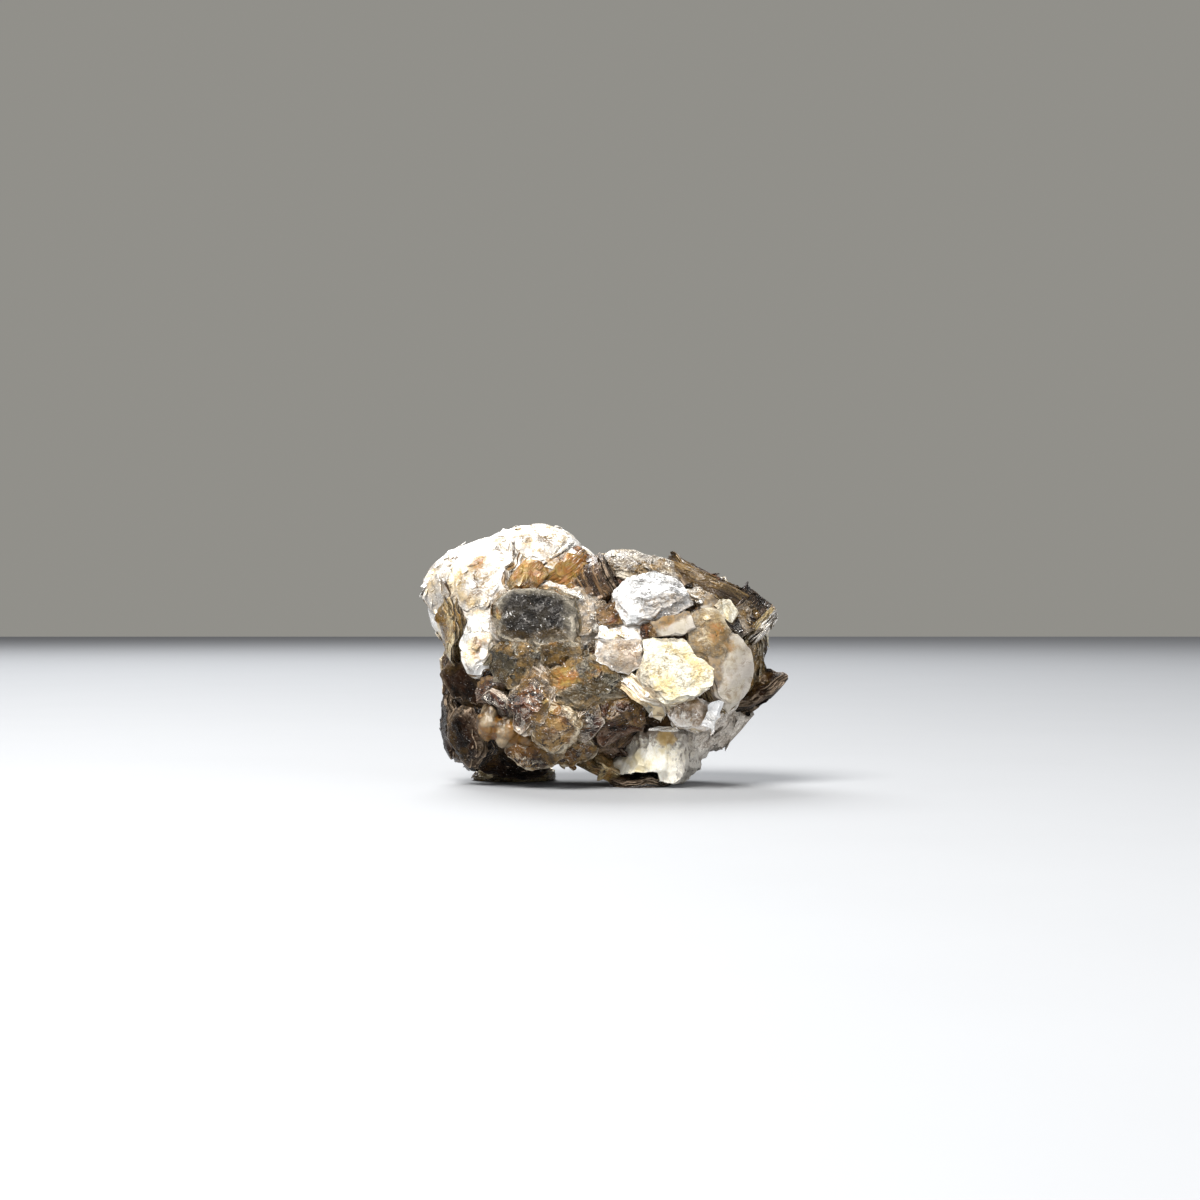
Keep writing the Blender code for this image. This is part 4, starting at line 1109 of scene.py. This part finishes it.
# sheets that stray past the solids are drawn most of the way back, so that the outline keeps to them
strayValues = dict(free=0.45, kept=0.3)
# the flat side that the whole specimen keeps behind: direction, how far out, and how much of the rest goes
flatSide = dict(direction=(0.73, 0.0, -0.68), reach=9.2, cut=0.85)
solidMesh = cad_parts["mica_crystals"].data
solidCorners = [corner.co for corner in solidMesh.vertices]
solidTree = BVHTree.FromPolygons(solidCorners, [face.vertices for face in solidMesh.polygons])


def drawIn(piece):
    free, kept = strayValues["free"] * mm, strayValues["kept"]
    direction = Vector(flatSide["direction"])
    for corner in piece.data.vertices:
        near, normal, _, away = solidTree.find_nearest(corner.co)
        if away > free and (corner.co - near).dot(normal) > 0:
            corner.co = near + (corner.co - near) * ((free + kept * (away - free)) / away)
        over = corner.co.dot(direction) - flatSide["reach"] * mm
        if over > 0:
            corner.co -= direction * over * flatSide["cut"]


def finishMica(piece, drawn=True):
    if drawn:
        drawIn(piece)
    cutAtTable(piece)
    addStain(piece)
    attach(piece, "root")
    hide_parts("mica_crystals")


def makeBooks(name, books, amount=1.0):
    parts = []
    for label, book in books.items():
        parts += stackBook(name + label, book)
    piece = joinAs(name, parts)
    addCrumple(piece, amount)
    makeActive(piece)
    bpy.ops.object.shade_smooth_by_angle(angle=math.radians(38))
    finishMica(piece)
    piece.data.calc_loop_triangles()
    print(name, "books:", len(books), "triangles:", len(piece.data.loop_triangles))
    return piece


bookPieces = [
    makeBooks("fanBooks", fanBooks),
    makeBooks("shellBooks", shellBooks),
    makeBooks("plateBooks", plateBooks),
    makeBooks("edgeBooks", edgeBooks, 0.5),
    makeBooks("footBooks", footBooks, 0.8),
    makeBooks("backBooks", backBooks),
]


def copyOfNode(node, name):
    deselectAll()
    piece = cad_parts[node].copy()
    piece.data = piece.data.copy()
    piece.parent = None
    piece.name = name
    piece.data.name = name
    for key in list(piece.keys()):
        del piece[key]
    scene.collection.objects.link(piece)
    piece.hide_render = False
    piece.hide_viewport = False
    makeActive(piece)
    bpy.ops.object.mode_set(mode="EDIT")
    bpy.ops.mesh.select_all(action="SELECT")
    bpy.ops.mesh.remove_doubles(threshold=0.01 * mm)
    bpy.ops.object.mode_set(mode="OBJECT")
    return piece


def addVoxels(piece, size):
    remesh = piece.modifiers.new("voxels", "REMESH")
    remesh.mode = "VOXEL"
    remesh.voxel_size = size * mm


def addNoise(piece, label, kind, size, strength, level=0.5):
    texture = bpy.data.textures.new(piece.name + label, kind)
    texture.noise_scale = size * mm
    displace = piece.modifiers.new(label, "DISPLACE")
    displace.texture = texture
    displace.texture_coords = "LOCAL"
    displace.mid_level = level
    displace.strength = strength * mm


# Massive mica that fills the space behind the books
massValues = dict(shrink=1.0, voxel=0.55, roughSize=1.4, roughDepth=0.7,
                  greyRightOf=9.5, greyBelow=13.0, greyBefore=8.0)


def makeMass():
    piece = copyOfNode("mica_crystals", "massiveMica")
    bpy.ops.object.mode_set(mode="EDIT")
    bpy.ops.transform.shrink_fatten(value=-massValues["shrink"] * mm)
    bpy.ops.object.mode_set(mode="OBJECT")
    addVoxels(piece, massValues["voxel"])
    addNoise(piece, "rough", "VORONOI", massValues["roughSize"], massValues["roughDepth"], 1.0)
    applyModifiers(piece)
    mesh = piece.data
    mesh.materials.clear()
    mesh.materials.append(finishes["brownGlitter"])
    mesh.materials.append(finishes["greyFlank"])
    for face in mesh.polygons:
        x, y, z = face.center / mm
        isRight = x > massValues["greyRightOf"]
        isLowFront = z < massValues["greyBelow"] and y < massValues["greyBefore"]
        face.material_index = int(isRight and isLowFront)
    addLayer(mesh, "sheetPlace", readPoints(mesh) / mm)
    finishMica(piece)
    print("massiveMica faces:", len(mesh.polygons))
    return piece


mass = makeMass()


mineralVoxel = 0.22
# top: the darker brown towards the top, partly brown grains and partly painted shade under the mica above
feldsparLook = dict(light=(0.97, 0.94, 0.84), shade=(0.74, 0.64, 0.40), top=(0.17, 0.11, 0.065),
                    grey=(0.42, 0.385, 0.34), line=(0.075, 0.055, 0.04), yellow=(0.55, 0.36, 0.11))
quartzLook = dict(light=(0.28, 0.215, 0.135), shade=(0.075, 0.045, 0.020), seam=(0.16, 0.055, 0.006),
                  stain=(0.31, 0.14, 0.012))


def makeFeldsparMaterial(look):
    material, tree, shader = newMaterial("feldspar")
    place = placeInMm(tree)
    x, _, z = splitAxes(tree, place)
    grain = noise(tree, place, 1.3, 5.0, 0.7)
    cloud = noise(tree, place, 0.32, 5.0, 0.6)
    cleavage = noise(tree, vectorCalc(tree, "MULTIPLY", place, (2.2, 1.0, 0.5)), 1.0, 5.0, 0.65)
    color = mix(tree, smoothRange(tree, cloud, 0.32, 0.52), look["shade"], look["light"])
    color = layOver(tree, color, look["shade"], middleLines(tree, cleavage, 0.03), 0.5)
    uneven = minus(tree, grain, 0.5)
    # darker brown towards the top: partly brown grains, partly painted shade under the mica above
    toShadedTop = plus(tree, z, times(tree, uneven, 9.0))
    color = layOver(tree, color, look["top"], smoothRange(tree, toShadedTop, 5.6, 7.8), 0.9)
    toRight = plus(tree, x, times(tree, uneven, 7.0))
    greyed = smoothRange(tree, toRight, 9.6, 11.4)
    color = layOver(tree, color, look["grey"], greyed, 0.8)
    streaks = noise(tree, vectorCalc(tree, "MULTIPLY", place, (2.4, 1.2, 0.6)), 1.0, 4.0, 0.7, 0.6)
    dark = times(tree, smoothRange(tree, streaks, 0.52, 0.62), 0.85)
    color = layOver(tree, color, look["line"], greyed, dark)
    rust = useGroup(tree, stainGroup, Spread=-0.12)
    color = layOver(tree, color, look["yellow"], rust["Mask"], 0.8)
    tree.links.new(color, shader.inputs["Base Color"])
    shader.inputs["Roughness"].default_value = 0.42
    shader.inputs["Coat Weight"].default_value = 0.2
    shader.inputs["Coat Roughness"].default_value = 0.25
    height = plus(tree, cleavage, grain)
    tree.links.new(bumpNormal(tree, height, 0.6, 0.4 * mm), shader.inputs["Normal"])
    return material


def makeQuartzMaterial(look):
    material, tree, shader = newMaterial("quartz")
    place = placeInMm(tree)
    cloud = noise(tree, place, 0.5, 5.0, 0.6)
    seam = smoothRange(tree, timesPlus(tree, cloud, 0.3, attribute(tree, "cavity")), 0.3, 0.75)
    rust = useGroup(tree, stainGroup, Spread=0.18)
    color = mix(tree, smoothRange(tree, cloud, 0.4, 0.58), look["shade"], look["light"])
    color = layOver(tree, color, look["seam"], seam, 0.85)
    color = layOver(tree, color, look["stain"], rust["Mask"], 0.7)
    tree.links.new(color, shader.inputs["Base Color"])
    shader.inputs["Roughness"].default_value = 0.3
    shader.inputs["Transmission Weight"].default_value = 0.15
    shader.inputs["IOR"].default_value = 1.54
    shader.inputs["Subsurface Weight"].default_value = 0.25
    shader.inputs["Subsurface Radius"].default_value = (1.0, 0.7, 0.4)
    shader.inputs["Subsurface Scale"].default_value = 1.2 * mm
    shader.inputs["Coat Weight"].default_value = 0.08
    shader.inputs["Coat Roughness"].default_value = 0.12
    height = minus(tree, noise(tree, place, 1.2, 4.0, 0.6), times(tree, seam, 0.5))
    tree.links.new(bumpNormal(tree, height, 0.5, 0.6 * mm), shader.inputs["Normal"])
    return material


# how far each point lies in a hollow between lumps
def addCavity(piece, depth, rounds=3):
    mesh = piece.data
    points, normals = readPoints(mesh), np.empty(len(mesh.vertices) * 3)
    mesh.vertices.foreach_get("normal", normals)
    normals = normals.reshape(-1, 3)
    ends = np.empty(len(mesh.edges) * 2, dtype=np.int32)
    mesh.edges.foreach_get("vertices", ends)
    one, other = ends.reshape(-1, 2).T
    count = np.bincount(ends, minlength=len(points))[:, None]

    def around(values):
        total = np.zeros_like(values)
        np.add.at(total, one, values[other])
        np.add.at(total, other, values[one])
        return total / count

    soft = points
    for _ in range(rounds * 3):
        soft = around(soft)
    hollow = ((soft - points) * normals).sum(1, keepdims=True) / mm / depth
    for _ in range(rounds):
        hollow = around(hollow)
    addLayer(mesh, "cavity", np.clip(hollow[:, 0], 0.0, 1.0))


# faces that the crystal is broken to: direction and how far out from its middle, in millimeters
feldsparMiddle = (8.2, -6.4, 4.6)
feldsparFaces = (
    ((-0.8, -0.5, 0.3), 4.4), ((-0.6, -0.3, -0.75), 5.7), ((0.62, -0.2, -0.76), 4.5),
    ((0.85, -0.5, 0.1), 4.4), ((0.1, -0.8, 0.6), 5.2), ((-0.1, -0.9, -0.4), 5.1),
    ((0.5, -0.75, 0.45), 5.0), ((-0.45, -0.8, 0.1), 5.0), ((0.1, -1.0, 0.05), 4.6),
)


def breakToFaces(piece, middle, faces, wander=0.5):
    mesh = piece.data
    points = readPoints(mesh) / mm
    for n, (direction, reach) in enumerate(faces):
        out = np.array(direction) / np.linalg.norm(direction)
        wave = np.sin(points @ np.array((0.9, 0.4, 1.1)) + n * 2.1)
        wave *= np.cos(points @ np.array((-0.7, 0.5, 0.8)) + n)
        over = (points - np.array(middle)) @ out - reach - wander * wave
        points -= np.clip(over, 0.0, None)[:, None] * out * 0.92
    writePoints(mesh, points * mm)


def makeFeldspar():
    piece = copyOfNode("feldspar", "feldsparCrystal")
    bevel = piece.modifiers.new("worn", "BEVEL")
    bevel.width = 0.9 * mm
    bevel.segments = 2
    addVoxels(piece, mineralVoxel)
    applyModifiers(piece)
    breakToFaces(piece, feldsparMiddle, feldsparFaces)
    addNoise(piece, "lumps", "CLOUDS", 4.0, 1.2, 0.55)
    addNoise(piece, "steps", "VORONOI", 2.6, 0.5, 0.6)
    addNoise(piece, "grain", "CLOUDS", 0.7, 0.22)
    applyModifiers(piece)
    piece.data.materials.clear()
    piece.data.materials.append(makeFeldsparMaterial(feldsparLook))
    cutAtTable(piece)
    addStain(piece)
    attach(piece, "root")
    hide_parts("feldspar")
    print("feldspar faces:", len(piece.data.polygons))


def makeQuartz():
    piece = copyOfNode("quartz", "quartzGrains")
    addVoxels(piece, mineralVoxel)
    soft = piece.modifiers.new("soft", "SMOOTH")
    soft.iterations = 6
    addNoise(piece, "lumps", "VORONOI", 2.3, -1.3, 0.45)
    addNoise(piece, "broken", "CLOUDS", 1.2, 0.55)
    applyModifiers(piece)
    piece.data.materials.clear()
    piece.data.materials.append(makeQuartzMaterial(quartzLook))
    addCavity(piece, 0.12)
    addStain(piece)
    makeActive(piece)
    bpy.ops.object.shade_smooth()
    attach(piece, "root")
    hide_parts("quartz")
    print("quartz faces:", len(piece.data.polygons))


makeFeldspar()
makeQuartz()


# Small flakes that lie on the books
flakeValues = (
    dict(shape="flake", count=760, size=(0.8, 2.2), thick=(0.06, 0.14), tilt=20.0, proud=0.1, seed=77),
    dict(shape="chip", count=260, size=(1.6, 3.2), thick=(0.08, 0.15), tilt=18.0, proud=0.12, seed=78),
)

cleanFaces = ("whitePlate", "creamFace", "darkHeart", "beigeSatin", "pinkStep", "slabEdge")


# the outermost sheet below a point of the solids: how far, where, how it faces and its finish
def sheetBelow(point, outward, trees):
    hits = []
    for piece, tree in trees:
        place, normal, index, away = tree.ray_cast(point + outward * 4 * mm, -outward, 7 * mm)
        if place:
            finish = piece.data.materials[piece.data.polygons[index].material_index]
            hits.append((away, place, normal, finish))
    return min(hits, key=lambda hit: hit[0]) if hits else None


def makeFlakes(sorts):
    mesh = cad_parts["mica_crystals"].data
    areas = np.array([face.area for face in mesh.polygons])
    total = np.cumsum(areas) / areas.sum()
    depsgraph = bpy.context.evaluated_depsgraph_get()
    trees = [(piece, BVHTree.FromObject(piece, depsgraph)) for piece in bookPieces + [mass]]
    parts = []
    for values in sorts:
        dice = random.Random(values["seed"])
        source = sheets[values["shape"]].data
        for n in range(values["count"]):
            face = mesh.polygons[int(np.searchsorted(total, dice.random()))]
            corners = [mesh.vertices[i].co for i in face.vertices]
            a, b = sorted((dice.random(), dice.random()))
            point = corners[0] * a + corners[1] * (b - a) + corners[2] * (1 - b)
            size = dice.uniform(*values["size"])
            below = sheetBelow(point, face.normal, trees)
            if point.z < 0.6 * size * mm or not below:
                continue
            _, place, normal, finish = below
            if finish.name in cleanFaces or normal.dot(face.normal) < 0.7:
                continue
            flake = source.copy()
            points = readPoints(flake)
            around = np.arctan2(points[:, 1], points[:, 0])
            broken = np.ones(len(points))
            for cut in range(4):
                facing = np.cos(around - cut * 1.6 - dice.uniform(-0.5, 0.5))
                broken = np.minimum(broken, dice.uniform(0.5, 0.95) / np.maximum(facing, 0.05))
            points[:, :2] *= broken[:, None]
            widths = np.array([size, size * dice.uniform(0.55, 1.0), dice.uniform(*values["thick"])])
            sized = points * widths * mm / np.array([2, 2, 1])
            sized[:, 2] += values["proud"] * mm
            writePoints(flake, sized)
            addLayer(flake, "sheetPlace", points * size / 2 + n * 0.7)
            addLayer(flake, "sheetTone", np.full(len(points), dice.random()))
            addLayer(flake, "sheetRim", np.hypot(points[:, 0], points[:, 1]))
            tilts = [math.radians(dice.uniform(-1, 1) * values["tilt"]) for _ in range(2)]
            lean = Euler(tilts + [dice.uniform(0, 6.28)]).to_matrix().to_4x4()
            stand = normal.to_track_quat("Z", "Y").to_matrix().to_4x4()
            flake.transform(Matrix.Translation(place) @ stand @ lean)
            flake.materials.clear()
            flake.materials.append(finish)
            part = bpy.data.objects.new(f"{values['shape']}{n}", flake)
            scene.collection.objects.link(part)
            parts.append(part)
    piece = joinAs("looseFlakes", parts)
    finishMica(piece, drawn=False)
    print("flakes:", len(parts), "faces:", len(piece.data.polygons))


makeFlakes(flakeValues)
for sheet in sheets.values():
    bpy.data.objects.remove(sheet)


studio = dict(floorSize=3.0, floorColor=(0.308, 0.316, 0.329), backdrop=(0.285, 0.278, 0.255),
              softLight=(0.27, 0.27, 0.275))
keyLight = dict(at=(-0.22, -0.40, 0.64), size=0.45, power=13.0, color=(1.0, 0.98, 0.95))
backLight = dict(at=(-0.25, 0.75, 0.75), size=0.6, power=12.0, color=(0.98, 0.99, 1.0))
fillLight = dict(at=(0.46, -0.50, 0.18), size=0.5, power=2.2, color=(0.95, 0.97, 1.0))


def makeFloor(values):
    deselectAll()
    bpy.ops.mesh.primitive_plane_add(size=values["floorSize"])
    floor = bpy.context.object
    floor.name = "floor"
    material, tree, shader = newMaterial("paleFloor")
    soft = noise(tree, scaled(tree, placeInMm(tree), 0.03))
    color = mix(tree, soft, values["floorColor"], tuple(c * 0.96 for c in values["floorColor"]))
    tree.links.new(color, shader.inputs["Base Color"])
    shader.inputs["Roughness"].default_value = 0.7
    floor.data.materials.append(material)


def makeLight(name, values):
    deselectAll()
    bpy.ops.object.light_add(type="AREA", location=values["at"])
    light = bpy.context.object
    light.name = name
    light.data.shape = "DISK"
    light.data.size = values["size"]
    light.data.energy = values["power"]
    light.data.color = values["color"]
    aim = Vector((0.0, 0.0, 0.018)) - Vector(values["at"])
    light.rotation_euler = aim.to_track_quat("-Z", "Y").to_euler()


def makeSky(values):
    world = bpy.data.worlds.new("studioSky")
    world.use_nodes = True
    tree = world.node_tree
    background = tree.nodes["Background"]
    seen = tree.nodes.new("ShaderNodeLightPath").outputs["Is Camera Ray"]
    tree.links.new(mix(tree, seen, values["softLight"], values["backdrop"]), background.inputs["Color"])
    scene.world = world


def makeCamera():
    deselectAll()
    bpy.ops.object.camera_add(location=(-0.00075, -0.375, 0.0275), rotation=(math.pi / 2, 0.0, 0.0))
    camera = bpy.context.object
    camera.name = "camera"
    camera.data.lens = 75.0
    camera.data.sensor_width = 36.0
    camera.data.clip_start = 0.01
    camera.data.clip_end = 20.0
    scene.camera = camera


makeFloor(studio)
makeLight("keyLight", keyLight)
makeLight("fillLight", fillLight)
makeLight("backLight", backLight)
makeSky(studio)
makeCamera()
scene.view_settings.view_transform = "Standard"
